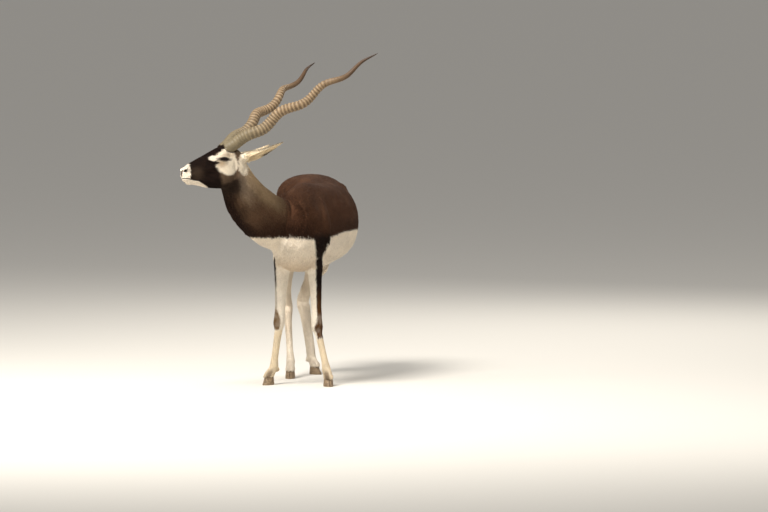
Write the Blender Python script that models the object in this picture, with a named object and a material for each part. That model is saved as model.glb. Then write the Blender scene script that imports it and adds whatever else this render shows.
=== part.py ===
"""Blackbuck (Antilope cervicapra), adult male, a still life-size figure.

The buck stands on four hooves with its trunk curved to its right, its neck bent the same way and its
head held level in profile, the long ringed horns swept back.  Metres, +Z up, the chest faces -Y, the
animal's left is +X.  The flesh is lofted from named sections, fused by a voxel remesh, relaxed, carved
round the face, thinned to few faces and parted at the neck, head, legs and tail with thin flat cuts.
Horns, eyes, ears and hoof claws are solids of their own that meet the flesh face to face.
"""

import math

import bmesh
import bpy
import numpy as np
from mathutils import Matrix, Vector
from mathutils.bvhtree import BVHTree

# Driving sizes, in metres.
WITHERS = 0.78
VOXEL = 0.0045
GAP = 0.0003
HEAD_VOXEL = 0.0026
HORN_LENGTH = 0.672
HORN_PITCH = 0.1896
HORN_COIL_RADIUS = 0.0096
FAR_HORN_LIFT = 0.024
RING_SPACING = 0.0130
RING_HEIGHT = 0.0024
EAR_THICKNESS = 0.0026
EYE_RADIUS = 0.0155
LID_THICKNESS = 0.0018
HOOF_HEIGHT = 0.031
TAIL_LENGTH = 0.15
BODY_TRIANGLES = 4600
HEAD_TRIANGLES = 2400
EYE_SEGMENTS = 20

# The head's own frame: forward to the nose, left and up, from a point midway between the eyes.
HEAD_ORIGIN = Vector((-0.2442, -0.3315, 0.8809))
HEAD_FORWARD = Vector((-0.8217, -0.5435, -0.1713)).normalized()
HEAD_LEFT = Vector((0.5306, -0.8394, 0.1179)).normalized()
HEAD_UP = HEAD_FORWARD.cross(HEAD_LEFT).normalized()

# Trunk sections from breast to rump: centre x and y, top, belly, half width, and how much narrower on top.
TRUNK = [
    (-0.020, -0.150, 0.625, 0.545, 0.026, 0.00),
    (-0.018, -0.128, 0.668, 0.505, 0.062, 0.00),
    (-0.012, -0.085, 0.715, 0.462, 0.089, 0.05),
    (-0.004, -0.030, 0.752, 0.440, 0.104, 0.14),
    (0.006, 0.040, 0.777, 0.436, 0.108, 0.30),
    (0.015, 0.110, 0.772, 0.440, 0.120, 0.24),
    (0.023, 0.205, 0.762, 0.446, 0.138, 0.04),
    (0.027, 0.305, 0.760, 0.456, 0.150, 0.02),
    (0.011, 0.388, 0.766, 0.478, 0.148, -0.03),
    (-0.019, 0.465, 0.780, 0.512, 0.137, -0.12),
    (-0.053, 0.540, 0.783, 0.552, 0.132, -0.18),
    (-0.077, 0.597, 0.765, 0.590, 0.108, -0.08),
    (-0.085, 0.635, 0.730, 0.620, 0.066, 0.05),
    (-0.095, 0.658, 0.700, 0.650, 0.032, 0.00),
]

# Neck sections: centre, the way its crest faces, half depth from crest to throat, half width.
NECK = [
    ((-0.020, 0.020, 0.610), (0.10, 0.25, 0.96), 0.105, 0.085),
    ((-0.057, -0.058, 0.621), (0.30, 0.20, 0.92), 0.103, 0.085),
    ((-0.100, -0.130, 0.645), (0.50, 0.12, 0.84), 0.098, 0.078),
    ((-0.153, -0.216, 0.710), (0.57, 0.10, 0.80), 0.089, 0.067),
    ((-0.182, -0.277, 0.782), (0.66, 0.25, 0.68), 0.072, 0.056),
    ((-0.200, -0.307, 0.842), (0.78, 0.42, 0.40), 0.059, 0.047),
    ((-0.212, -0.318, 0.862), (0.84, 0.50, 0.20), 0.050, 0.040),
]

# Skull and muzzle sections in the head's frame: forward, top, bottom, half width, narrower on top.
SKULL = [
    (-0.088, 0.004, -0.050, 0.022, 0.0),
    (-0.074, 0.028, -0.078, 0.040, 0.0),
    (-0.048, 0.046, -0.096, 0.048, -0.05),
    (-0.018, 0.054, -0.104, 0.049, -0.14),
    (0.012, 0.050, -0.106, 0.045, -0.16),
    (0.040, 0.041, -0.103, 0.039, -0.12),
    (0.068, 0.031, -0.095, 0.033, -0.04),
    (0.096, 0.023, -0.083, 0.0285, 0.02),
    (0.120, 0.017, -0.072, 0.0265, 0.04),
    (0.140, 0.010, -0.064, 0.0262, -0.02),
    (0.155, 0.000, -0.057, 0.0235, -0.10),
    (0.165, -0.012, -0.049, 0.0165, -0.10),
    (0.169, -0.020, -0.038, 0.0080, 0.0),
]

# Each leg: joints from the top down, the last one on the ground under the middle of the foot.
LEG_JOINTS = {
    "foreleg_left": [(0.056, -0.030, 0.575), (0.059, 0.012, 0.462), (0.072, -0.012, 0.228),
                     (0.110, -0.020, 0.066), (0.121, -0.040, 0.034)],
    "foreleg_right": [(-0.052, -0.016, 0.575), (-0.068, 0.034, 0.468), (-0.078, 0.006, 0.238),
                      (-0.102, 0.014, 0.068), (-0.117, -0.004, 0.034)],
    "hindleg_left": [(0.036, 0.522, 0.640), (-0.004, 0.452, 0.464), (-0.084, 0.580, 0.279),
                     (-0.045, 0.538, 0.066), (-0.030, 0.522, 0.034)],
    "hindleg_right": [(-0.100, 0.500, 0.640), (-0.122, 0.374, 0.456), (-0.125, 0.446, 0.268),
                      (-0.092, 0.330, 0.066), (-0.089, 0.308, 0.034)],
}
TOES = {
    "foreleg_left": (0.30, -0.95),
    "foreleg_right": (-0.42, -0.91),
    "hindleg_left": (0.78, -0.63),
    "hindleg_right": (0.05, -1.0),
}

# Leg sections: bone, share of the way down it, half width across, half depth fore and aft, set forward.
FORE_SECTIONS = [
    (0, 0.00, 0.034, 0.052, 0.0),
    (0, 0.55, 0.037, 0.060, 0.0),
    (1, 0.00, 0.033, 0.048, 0.003),
    (1, 0.18, 0.0270, 0.0370, 0.005),
    (1, 0.42, 0.0226, 0.0275, 0.004),
    (1, 0.72, 0.0192, 0.0205, 0.001),
    (1, 0.90, 0.0202, 0.0205, 0.001),
    (2, 0.00, 0.0218, 0.0212, 0.002),
    (2, 0.07, 0.0200, 0.0200, 0.000),
    (2, 0.18, 0.0140, 0.0162, -0.001),
    (2, 0.50, 0.0119, 0.0150, 0.0),
    (2, 0.82, 0.0123, 0.0152, 0.0),
    (3, 0.00, 0.0160, 0.0185, -0.002),
    (3, 0.45, 0.0145, 0.0155, 0.0),
    (3, 1.00, 0.0180, 0.0205, 0.0),
    (3, 1.55, 0.0165, 0.0180, 0.0),
]
HIND_SECTIONS = [
    (0, 0.00, 0.054, 0.100, 0.0),
    (0, 0.45, 0.056, 0.098, 0.004),
    (0, 0.80, 0.049, 0.080, 0.006),
    (1, 0.00, 0.044, 0.074, 0.002),
    (1, 0.20, 0.036, 0.058, -0.002),
    (1, 0.45, 0.0235, 0.034, -0.004),
    (1, 0.72, 0.0165, 0.0260, -0.006),
    (1, 0.90, 0.0175, 0.0255, -0.006),
    (2, 0.00, 0.0195, 0.0270, -0.006),
    (2, 0.10, 0.0175, 0.0250, -0.003),
    (2, 0.24, 0.0138, 0.0215, 0.0),
    (2, 0.55, 0.0120, 0.0185, 0.0),
    (2, 0.84, 0.0124, 0.0175, 0.0),
    (3, 0.00, 0.0162, 0.0185, -0.002),
    (3, 0.45, 0.0145, 0.0155, 0.0),
    (3, 1.00, 0.0180, 0.0205, 0.0),
    (3, 1.55, 0.0165, 0.0180, 0.0),
]

COLOURS = {
    "coat_dark": ((0.030, 0.017, 0.012), 0.7),
    "coat_neck": ((0.060, 0.040, 0.028), 0.75),
    "coat_pale": ((0.62, 0.53, 0.40), 0.8),
    "horn": ((0.090, 0.065, 0.045), 0.5),
    "hoof": ((0.020, 0.017, 0.015), 0.4),
    "eye": ((0.012, 0.007, 0.005), 0.08),
}


def clear_scene():
    for item in list(bpy.data.objects):
        bpy.data.objects.remove(item, do_unlink=True)


def material(name):
    made = bpy.data.materials.get(name) or bpy.data.materials.new(name)
    colour, roughness = COLOURS[name]
    made.use_nodes = True
    shader = made.node_tree.nodes["Principled BSDF"]
    shader.inputs["Base Color"].default_value = (*colour, 1.0)
    shader.inputs["Roughness"].default_value = roughness
    shader.inputs["Metallic"].default_value = 0.0
    return made


def new_object(name, bm, finish=None):
    mesh = bpy.data.meshes.new(name)
    bm.to_mesh(mesh)
    bm.free()
    made = bpy.data.objects.new(name, mesh)
    bpy.context.scene.collection.objects.link(made)
    if finish:
        mesh.materials.append(material(finish))
    return made


def loft(name, rings, finish=None):
    """A closed skin over rings of equally many points, each end closed by a fan."""
    bm = bmesh.new()
    rows = [[bm.verts.new(point) for point in ring] for ring in rings]
    count = len(rows[0])
    for lower, upper in zip(rows, rows[1:]):
        for i in range(count):
            j = (i + 1) % count
            bm.faces.new((lower[i], lower[j], upper[j], upper[i]))
    for row, flip in ((rows[0], True), (rows[-1], False)):
        middle = bm.verts.new(sum((v.co for v in row), Vector()) / count)
        for i in range(count):
            j = (i + 1) % count
            bm.faces.new((row[j], row[i], middle) if flip else (row[i], row[j], middle))
    bmesh.ops.recalc_face_normals(bm, faces=bm.faces)
    return new_object(name, bm, finish)


def section(centre, across, upward, half_width, half_height, count=24, narrow=0.0, square=1.0):
    """An egg-shaped ring; a positive narrow pinches its upper half."""
    points = []
    for i in range(count):
        angle = 2 * math.pi * i / count
        c, s = math.cos(angle), math.sin(angle)
        wide = math.copysign(abs(c) ** square, c) * half_width * (1 - narrow * s)
        high = math.copysign(abs(s) ** square, s) * half_height
        points.append(centre + across * wide + upward * high)
    return points


def smooth_path(points, steps):
    """Points along a Catmull-Rom curve through the given ones, ends included."""
    values = [np.asarray(p, float) for p in points]
    values = [2 * values[0] - values[1]] + values + [2 * values[-1] - values[-2]]
    path = []
    for i in range(1, len(values) - 2):
        a, b, c, d = values[i - 1 : i + 3]
        for k in range(steps):
            t = k / steps
            path.append(
                0.5 * (2 * b + (c - a) * t + (2 * a - 5 * b + 4 * c - d) * t**2 + (3 * b - a - 3 * c + d) * t**3)
            )
    path.append(values[-2])
    return path


def in_head(forward, left, up):
    """A point of the head's frame, in world space."""
    return HEAD_ORIGIN + HEAD_FORWARD * forward + HEAD_LEFT * left + HEAD_UP * up


def head_axes(point):
    """World point to (forward, left, up) in the head's frame."""
    away = Vector(point) - HEAD_ORIGIN
    return away.dot(HEAD_FORWARD), away.dot(HEAD_LEFT), away.dot(HEAD_UP)


def make_trunk():
    rows = smooth_path(TRUNK, 3)
    rings = []
    for i, (x, y, top, bottom, half_width, narrow) in enumerate(rows):
        before, after = rows[max(i - 1, 0)], rows[min(i + 1, len(rows) - 1)]
        along = Vector((after[0] - before[0], after[1] - before[1], 0)).normalized()
        across = Vector((along.y, -along.x, 0))
        centre = Vector((x, y, (top + bottom) / 2))
        rings.append(section(centre, across, Vector((0, 0, 1)), half_width, (top - bottom) / 2, 32, narrow, 0.92))
    return loft("trunk_core", rings)


def make_neck():
    rows = smooth_path([(*c, *d, a, b) for c, d, a, b in NECK], 3)
    rings = []
    for i, row in enumerate(rows):
        before, after = rows[max(i - 1, 0)], rows[min(i + 1, len(rows) - 1)]
        along = Vector(after[:3] - before[:3]).normalized()
        crest = Vector(row[3:6])
        crest = (crest - along * crest.dot(along)).normalized()
        rings.append(section(Vector(row[:3]), along.cross(crest), crest, row[7], row[6], 28, 0.10))
    return loft("neck_core", rings)


def make_skull():
    rings = []
    for forward, top, bottom, half_width, narrow in smooth_path(SKULL, 2):
        centre = in_head(forward, 0, (top + bottom) / 2)
        rings.append(section(centre, HEAD_LEFT, HEAD_UP, half_width, (top - bottom) / 2, 28, narrow, 0.88))
    return loft("skull_core", rings)


def ellipsoid(name, centre, axes, radii, segments=24, finish=None):
    bm = bmesh.new()
    bmesh.ops.create_uvsphere(bm, u_segments=segments, v_segments=segments // 2, radius=1.0)
    turn = Matrix((axes[0], axes[1], axes[2])).transposed()
    for vert in bm.verts:
        vert.co = Vector(centre) + turn @ Vector(c * r for c, r in zip(vert.co, radii))
    return new_object(name, bm, finish)


def make_face_masses():
    """Orbits, cheeks and the roots that the horns and ears grow from."""
    axes = (HEAD_FORWARD, HEAD_LEFT, HEAD_UP)
    made = []
    for side in (1, -1):
        made.append(ellipsoid("orbit", in_head(-0.002, side * 0.036, 0.006), axes, (0.027, 0.0185, 0.022)))
        made.append(ellipsoid("cheek", in_head(0.000, side * 0.027, -0.045), axes, (0.042, 0.021, 0.046)))
        made.append(ellipsoid("nose_wing", in_head(0.150, side * 0.0145, -0.010), axes, (0.014, 0.0095, 0.012)))
    return made


# The left hind cannon looks thicker in the photograph than the others: by how much across and fore and aft.
NEAR_CANNON = (1.25, 1.12)


def leg_rings(name):
    """Rings down a leg, wide across and deep along the way its foot points."""
    joints = [Vector(p) for p in LEG_JOINTS[name]]
    table = FORE_SECTIONS if name.startswith("fore") else HIND_SECTIONS
    toe = Vector((*TOES[name], 0)).normalized()
    body_forward = Vector((0, -1, 0))
    rows = []
    for bone, share, wide, deep, ahead in table:
        if name == "hindleg_left" and bone == 2 and share > 0.05:
            wide, deep = wide * NEAR_CANNON[0], deep * NEAR_CANNON[1]
        rows.append([*joints[bone].lerp(joints[bone + 1], share), wide, deep, ahead, bone + share])
    rows = smooth_path(rows, 2)
    rings = []
    for i, row in enumerate(rows):
        before, after = rows[max(i - 1, 0)], rows[min(i + 1, len(rows) - 1)]
        along = Vector(after[:3] - before[:3]).normalized()
        turn = min(max((row[6] - 0.6) / 0.8, 0.0), 1.0)
        front = body_forward.lerp(toe, turn)
        if name.startswith("hind") and row[6] < 1.6:
            knee = joints[1] - (joints[0] + joints[2]) / 2
            front = Vector((knee.x, knee.y, 0)).normalized().lerp(toe, 0.65 * min(max((row[6] - 0.80) / 0.25, 0.0), 1.0))
        front = (front - along * front.dot(along)).normalized()
        centre = Vector(row[:3]) + front * row[5]
        rings.append(section(centre, along.cross(front), front, row[3], row[4], 16))
    return rings


def make_leg_masses():
    """Elbows, hocks with the calcaneus behind them, knees, and the dewclaws behind each fetlock."""
    made = []
    for name, places in LEG_JOINTS.items():
        joints = [Vector(p) for p in places]
        toe = Vector((*TOES[name], 0)).normalized()
        side = Vector((-toe.y, toe.x, 0))
        axes = (side, toe, Vector((0, 0, 1)))
        fetlock = joints[3]
        for hand in (1, -1):
            spot = fetlock - toe * 0.017 + side * hand * 0.009 + Vector((0, 0, -0.010))
            made.append(ellipsoid("dewclaw", spot, axes, (0.0058, 0.0075, 0.0085), 16))
        if name.startswith("hind"):
            hock, stifle = joints[2], joints[1]
            back = Vector((hock.x - stifle.x, hock.y - stifle.y, 0)).normalized()
            heel = hock + back * 0.021 + Vector((0, 0, 0.020))
            across = Vector((0, 0, 1)).cross(back)
            made.append(ellipsoid("calcaneus", heel, (across, back, Vector((0, 0, 1))), (0.0095, 0.012, 0.026), 16))
            cord = [hock + back * 0.020 + Vector((0, 0, 0.030)), stifle.lerp(hock, 0.30) + back * 0.040]
            rings = [section(p, across, back, r, r, 10) for p, r in zip(cord, (0.0075, 0.014))]
            made.append(loft("tendon", rings))
        else:
            elbow = joints[1]
            made.append(ellipsoid("elbow", elbow + Vector((0, 0.034, 0.012)), axes, (0.015, 0.024, 0.026), 16))
    return made


def make_body_masses():
    """Shoulder blades, upper arms, points of the hip and haunches, under the skin on both sides."""
    made = []
    upright = Vector((0, 0, 1))
    for hand in (1, -1):
        blade = Vector((-hand * 0.20, 0.34, 0.92)).normalized()
        outward = Vector((1, 0, hand * 0.20)).normalized()
        axes = (outward, blade.cross(outward), blade)
        made.append(ellipsoid("blade", (0.004 + hand * 0.064, 0.030, 0.625), axes, (0.048, 0.066, 0.128)))
        axes = (Vector((1, 0, 0)), Vector((0, 1, 0)), upright)
        made.append(ellipsoid("arm", (0.002 + hand * 0.062, -0.040, 0.555), axes, (0.044, 0.062, 0.070)))
        made.append(ellipsoid("triceps", (0.002 + hand * 0.064, 0.052, 0.530), axes, (0.042, 0.066, 0.072)))
        made.append(ellipsoid("hip", (-0.012 + hand * 0.088, 0.440, 0.712), axes, (0.040, 0.058, 0.044)))
        made.append(ellipsoid("seat", (-0.060 + hand * 0.050, 0.592, 0.690), axes, (0.030, 0.040, 0.040)))
    lean = Vector((0, 0.30, 0.95)).normalized()
    axes = (Vector((1, 0, 0)), Vector((0, 0.95, -0.30)).normalized(), lean)
    made.append(ellipsoid("haunch", (0.022, 0.500, 0.605), axes, (0.070, 0.096, 0.132)))
    made.append(ellipsoid("haunch", (-0.098, 0.470, 0.605), axes, (0.066, 0.092, 0.130)))
    return made


def make_tail_core():
    root = Vector((-0.088, 0.636, 0.722))
    places = [root, root + Vector((-0.012, 0.030, -0.006)), root + Vector((-0.018, 0.044, -0.050)),
              root + Vector((-0.018, 0.044, -0.105)), root + Vector((-0.016, 0.040, -TAIL_LENGTH))]
    sizes = [(0.020, 0.013), (0.017, 0.011), (0.016, 0.010), (0.014, 0.009), (0.004, 0.003)]
    rings = []
    back = Vector((-0.38, 0.92, 0))
    for i, (place, (wide, deep)) in enumerate(zip(places, sizes)):
        before, after = places[max(i - 1, 0)], places[min(i + 1, len(places) - 1)]
        along = (after - before).normalized()
        across = Vector((0.92, 0.38, 0))
        rings.append(section(place, across, across.cross(along), wide, deep, 14))
    return loft("tail_core", rings)


def make_tail_locks():
    """Flat tapered locks of longer hair that overlap down the tail and end in a point."""
    root = Vector((-0.106, 0.681, 0.676))
    back = Vector((-0.38, 0.92, 0))
    side = Vector((0.92, 0.38, 0))
    made = []
    for drop, shift, spread, length in (
        (0.000, -0.9, 0.06, 0.075), (0.006, 0.9, -0.06, 0.075), (0.030, -0.7, 0.02, 0.080),
        (0.034, 0.7, -0.02, 0.082), (0.020, 0.0, 0.00, 0.100), (0.052, -0.3, 0.00, 0.072), (0.048, 0.3, 0.01, 0.070),
    ):
        rings = []
        for share, wide, thick in ((0, 0.0050, 0.0030), (0.3, 0.0062, 0.0034), (0.7, 0.0040, 0.0024), (1, 0.0008, 0.0006)):
            place = root - Vector((0, 0, drop + share * length)) + side * (0.0105 * shift * (1 - 0.45 * share))
            place = place + side * spread * share * 0.1 + back * (0.0065 - 0.006 * share)
            rings.append(section(place, side, back, wide, thick, 6))
        made.append(loft("lock", rings))
    return made


def join(objects, name):
    """Several closed meshes as one object; a remesh fuses them."""
    bm = bmesh.new()
    for item in objects:
        bm.from_mesh(item.data)
        bpy.data.objects.remove(item, do_unlink=True)
    return new_object(name, bm)


def apply_modifiers(item):
    graph = bpy.context.evaluated_depsgraph_get()
    mesh = bpy.data.meshes.new_from_object(item.evaluated_get(graph))
    item.modifiers.clear()
    item.data = mesh
    return item


def remesh(item, voxel):
    step = item.modifiers.new("fuse", "REMESH")
    step.mode = "VOXEL"
    step.voxel_size = voxel
    return apply_modifiers(item)


def mesh_arrays(mesh):
    points = np.empty(len(mesh.vertices) * 3)
    mesh.vertices.foreach_get("co", points)
    edges = np.empty(len(mesh.edges) * 2, int)
    mesh.edges.foreach_get("vertices", edges)
    return points.reshape(-1, 3), edges.reshape(-1, 2)


def relax(mesh, rounds, weight=None):
    """Evens out a mesh without shrinking it, each pair of rounds stepping in and then back out."""
    points, edges = mesh_arrays(mesh)
    near = np.zeros(len(points))
    np.add.at(near, edges.ravel(), 1.0)
    share = np.ones(len(points)) if weight is None else weight(points)
    for k in range(rounds):
        total = np.zeros_like(points)
        np.add.at(total, edges[:, 0], points[edges[:, 1]])
        np.add.at(total, edges[:, 1], points[edges[:, 0]])
        step = 0.55 if k % 2 == 0 else -0.56
        points += (step * share)[:, None] * (total / near[:, None] - points)
    mesh.vertices.foreach_set("co", points.ravel())
    mesh.update()


def blend_places(points):
    """High where limbs, neck and trunk meet, low on the slim legs and the face."""
    high = np.clip((points[:, 2] - 0.36) / 0.10, 0, 1)
    head = (points - np.array(HEAD_ORIGIN)) @ np.array(HEAD_FORWARD)
    near = np.linalg.norm(points - np.array(HEAD_ORIGIN), axis=1)
    calm = np.where((near < 0.20) & (head > -0.05), 0.35, 1.0)
    return 0.12 + 0.88 * high * calm


def thin_out(item, triangles):
    """Fewer faces, kept where the surface bends."""
    item.data.calc_loop_triangles()
    step = item.modifiers.new("thin", "DECIMATE")
    step.ratio = min(1.0, triangles / len(item.data.loop_triangles))
    return apply_modifiers(item)


def make_flesh():
    cores = [make_trunk(), make_neck(), make_skull(), make_tail_core()]
    cores += make_face_masses() + make_leg_masses() + make_body_masses()
    for name in LEG_JOINTS:
        cores.append(loft(name + "_core", leg_rings(name)))
    flesh = remesh(join(cores, "flesh"), VOXEL)
    relax(flesh.data, 60, blend_places)
    return flesh


def keep_side(item, point, normal, seed=None):
    """Cuts a closed mesh by a plane, keeps the side that the normal points to, and closes the cut."""
    bm = bmesh.new()
    bm.from_mesh(item.data)
    bmesh.ops.triangulate(bm, faces=bm.faces)
    everything = bm.verts[:] + bm.edges[:] + bm.faces[:]
    cut = bmesh.ops.bisect_plane(
        bm, geom=everything, dist=1e-6, plane_co=Vector(point), plane_no=Vector(normal), clear_inner=True
    )
    rim = [e for e in cut["geom_cut"] if isinstance(e, bmesh.types.BMEdge) and e.is_valid and e.is_boundary]
    if rim:
        bmesh.ops.triangle_fill(bm, use_beauty=True, use_dissolve=False, edges=rim)
    bmesh.ops.recalc_face_normals(bm, faces=bm.faces)
    bm.to_mesh(item.data)
    bm.free()
    return item


def loose_parts(bm):
    left = set(bm.faces)
    parts = []
    while left:
        grown = [left.pop()]
        part = set(grown)
        while grown:
            face = grown.pop()
            for edge in face.edges:
                for other in edge.link_faces:
                    if other in left:
                        left.discard(other)
                        part.add(other)
                        grown.append(other)
        parts.append(part)
    return parts


def keep_part(item, near=None):
    """Keeps only the closed surface with the most faces, or the one closest to a point."""
    bm = bmesh.new()
    bm.from_mesh(item.data)
    parts = loose_parts(bm)
    if near is None:
        best = max(parts, key=len)
    else:
        spot = Vector(near)
        best = min(parts, key=lambda part: min((f.calc_center_median() - spot).length for f in part))
    bmesh.ops.delete(bm, geom=[f for f in bm.faces if f not in best], context="FACES")
    bm.to_mesh(item.data)
    bm.free()
    return item


def duplicate(item, name, finish):
    made = bpy.data.objects.new(name, item.data.copy())
    bpy.context.scene.collection.objects.link(made)
    made.data.materials.clear()
    made.data.materials.append(material(finish))
    return made


def boolean(item, other, operation, solver="EXACT"):
    step = item.modifiers.new(operation.lower(), "BOOLEAN")
    step.operation = operation
    step.solver = solver
    step.object = other
    apply_modifiers(item)
    bpy.data.objects.remove(other, do_unlink=True)
    return item


# The flat cuts that part the body: a point on each and the way to the farther part.
HEAD_CUT = (in_head(-0.100, 0, -0.030), (HEAD_FORWARD * 0.70 + HEAD_UP * 0.714).normalized())
NECK_CUT = (Vector((-0.100, -0.105, 0.650)), Vector((-0.47, -0.70, 0.54)).normalized())
FORE_CUT = (Vector((0, 0, 0.424)), Vector((0, 0, -1)))
HIND_CUT = (Vector((0, 0.300, 0.400)), Vector((0, 0.493, -0.870)).normalized())
TAIL_CUT = (Vector((-0.094, 0.657, 0.716)), Vector((-0.38, 0.90, 0.20)).normalized())
HOOF_CUT = (Vector((0, 0, HOOF_HEIGHT)), Vector((0, 0, -1)))


def plane(cut, side):
    """The cut moved half a gap towards the kept side: 1 keeps the farther part, -1 the nearer."""
    point, normal = cut
    return point + normal * side * GAP / 2, normal * side


def part_body(flesh):
    """The thinned flesh as torso, neck, tail and legs."""
    neck = duplicate(flesh, "neck", "coat_neck")
    keep_side(neck, *plane(NECK_CUT, 1))
    keep_part(keep_side(neck, *plane(HEAD_CUT, -1)), NECK[3][0])
    torso = duplicate(flesh, "torso", "coat_dark")
    for cut in (NECK_CUT, TAIL_CUT, HIND_CUT, FORE_CUT):
        keep_side(torso, *plane(cut, -1))
    keep_part(torso, (0.0, 0.3, 0.77))
    tail = duplicate(flesh, "tail", "coat_pale")
    keep_part(keep_side(tail, *plane(TAIL_CUT, 1)), TAIL_CUT[0] + Vector((-0.018, 0.040, -0.06)))
    for lock in make_tail_locks():
        boolean(tail, lock, "UNION")
    for name, joints in LEG_JOINTS.items():
        leg = duplicate(flesh, name, "coat_pale")
        keep_side(leg, *plane(FORE_CUT if name.startswith("fore") else HIND_CUT, 1))
        keep_part(keep_side(leg, *plane(HOOF_CUT, -1)), joints[2])
    bpy.data.objects.remove(flesh, do_unlink=True)


def make_claws():
    """Two pointed claws under each foot, flat soled, close together and opening at the toes."""
    for name, joints in LEG_JOINTS.items():
        foot = Vector(joints[4])
        toe = Vector((*TOES[name], 0)).normalized()
        side = Vector((toe.y, -toe.x, 0))
        for hand, label in ((1, "left"), (-1, "right")):
            out = -side * hand
            rings = []
            for height, front, rear, wide in (
                (0.0, 0.036, 0.021, 0.0180),
                (0.006, 0.034, 0.021, 0.0182),
                (0.018, 0.025, 0.0205, 0.0172),
                (HOOF_HEIGHT - GAP / 2, 0.0165, 0.0195, 0.0158),
            ):
                ring = []
                for i in range(14):
                    angle = 2 * math.pi * i / 14
                    c, s = math.cos(angle), math.sin(angle)
                    along = c * (front if c > 0 else rear)
                    away = 0.0009 + (wide * max(s, 0.0) ** 0.8 * (1 - 0.30 * max(c, 0) ** 2) if s > 0 else 0.0003 * s)
                    ring.append(Vector((foot.x, foot.y, height)) + toe * along + out * away)
                rings.append(ring)
            loft(f"hoof_{name.replace('leg', '')}_{label}", rings, "hoof")


def horn_point(along, hand):
    """Centre of a horn in the head's frame, coiling about its straight axis; hand 1 is the left horn."""
    base = Vector((-0.0331, 0.0264, 0.0413))
    axis = Vector((-0.8591, 0.4245, 0.3601 if hand > 0 else 0.3601 + FAR_HORN_LIFT)).normalized()
    first = (Vector((0, 0, 1)) - axis * axis.z).normalized()
    second = axis.cross(first)
    share = along / HORN_LENGTH
    coil = HORN_COIL_RADIUS * min(max((share - 0.02) / 0.20, 0), 1) * min(max((1.04 - share) / 0.25, 0), 1)
    angle = 4.562 + 2 * math.pi * along / HORN_PITCH
    spot = base + axis * along + first * coil * math.cos(angle) + second * coil * math.sin(angle)
    return in_head(spot.x, hand * spot.y, spot.z)


def make_horn(name, hand):
    shares = [-0.05, -0.02, 0.0, 0.25, 0.5, 0.75, 0.9, 1.0]
    radii = [0.013, 0.0225, 0.0235, 0.0208, 0.0168, 0.0104, 0.0062, 0.0012]
    places = [(-0.034, 0.0), (-0.014, 0.0)]
    ringed = int(0.76 * HORN_LENGTH / RING_SPACING)
    for k in range(ringed):
        start = 0.004 + k * RING_SPACING
        fade = min(1.0, 0.35 + k * 0.12) * min(1.0, (ringed - k) * 0.10)
        places += [(start, -0.35 * fade), (start + 0.55 * RING_SPACING, 0.75 * fade)]
    smooth_from = places[-1][0]
    for k in range(1, 13):
        places.append((smooth_from + (HORN_LENGTH - smooth_from) * k / 12, 0.0))
    rings = []
    for along, ridge in places:
        centre = horn_point(along, hand)
        ahead = (horn_point(along + 0.004, hand) - horn_point(along - 0.004, hand)).normalized()
        across = ahead.cross(HEAD_UP).normalized()
        radius = float(np.interp(along / HORN_LENGTH, shares, radii)) + ridge * RING_HEIGHT
        rings.append(section(centre, across, across.cross(ahead), radius, radius, 12))
    return loft(name, rings, "horn")


EAR_BASE = Vector((-0.074, 0.034, -0.012))
EAR_TIP = Vector((-0.236, 0.068, 0.019))
EAR_CUT = 0.165


def make_ear(name, hand):
    """A thin leaf curled into a cup that opens outwards and down; its root is a solid plug."""
    base, tip = EAR_BASE, EAR_TIP
    axis = (tip - base).normalized()
    opening = Vector((0.10, 0.45, -0.88))
    opening = (opening - axis * opening.dot(axis)).normalized()
    across = axis.cross(opening)
    spans = 8
    rows = []
    for share in (0.0, 0.08, 0.14, 0.19, 0.26, 0.35, 0.45, 0.56, 0.67, 0.78, 0.90, 1.0):
        half = float(np.interp(share, [0, 0.12, 0.3, 0.5, 0.7, 0.86, 1], [0.036, 0.046, 0.044, 0.033, 0.0222, 0.0122, 0.0016]))
        curl = float(np.interp(share, [0, 0.2, 0.5, 1], [2.3, 1.9, 1.35, 1.1]))
        radius = half / curl
        thick = EAR_THICKNESS * (1 - 0.45 * share)
        hollow = max(radius - thick, radius * 0.35)
        hollow = radius * 0.10 + (hollow - radius * 0.10) * min(max((share - EAR_CUT) / 0.16, 0), 1) ** 0.6
        bow = Vector((0, 0, -0.013)) * math.sin(math.pi * share)
        middle = base.lerp(tip, share) + bow + opening * (radius * math.cos(curl) * 0.5)
        ring = []
        for r, steps in ((radius, range(spans + 1)), (hollow, range(spans, -1, -1))):
            for i in steps:
                angle = curl * (2 * i / spans - 1)
                edge = radius - (radius - r) * (1 - 0.35 * abs(2 * i / spans - 1) ** 3)
                spot = middle - opening * edge * math.cos(angle) + across * edge * math.sin(angle)
                ring.append(in_head(spot.x, hand * spot.y, spot.z))
        rows.append(ring)
    bm = bmesh.new()
    verts = [[bm.verts.new(p) for p in ring] for ring in rows]
    count = len(verts[0])
    for lower, upper in zip(verts, verts[1:]):
        for i in range(count):
            j = (i + 1) % count
            bm.faces.new((lower[i], lower[j], upper[j], upper[i]))
    for row in (verts[0], verts[-1]):
        for i in range(spans):
            bm.faces.new((row[i], row[i + 1], row[count - 2 - i], row[count - 1 - i]))
    bmesh.ops.recalc_face_normals(bm, faces=bm.faces)
    return new_object(name, bm, "coat_pale")


def slab(centre, normal, size):
    """A thin square plate, as thick as a gap, that parts a horn or an ear from the head."""
    normal = normal.normalized()
    across = normal.orthogonal().normalized()
    upward = normal.cross(across)
    rings = []
    for lift in (-GAP / 2, GAP / 2):
        corners = ((-1, -1), (1, -1), (1, 1), (-1, 1))
        rings.append([centre + normal * lift + across * a * size + upward * b * size for a, b in corners])
    return loft("slab", rings)


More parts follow.
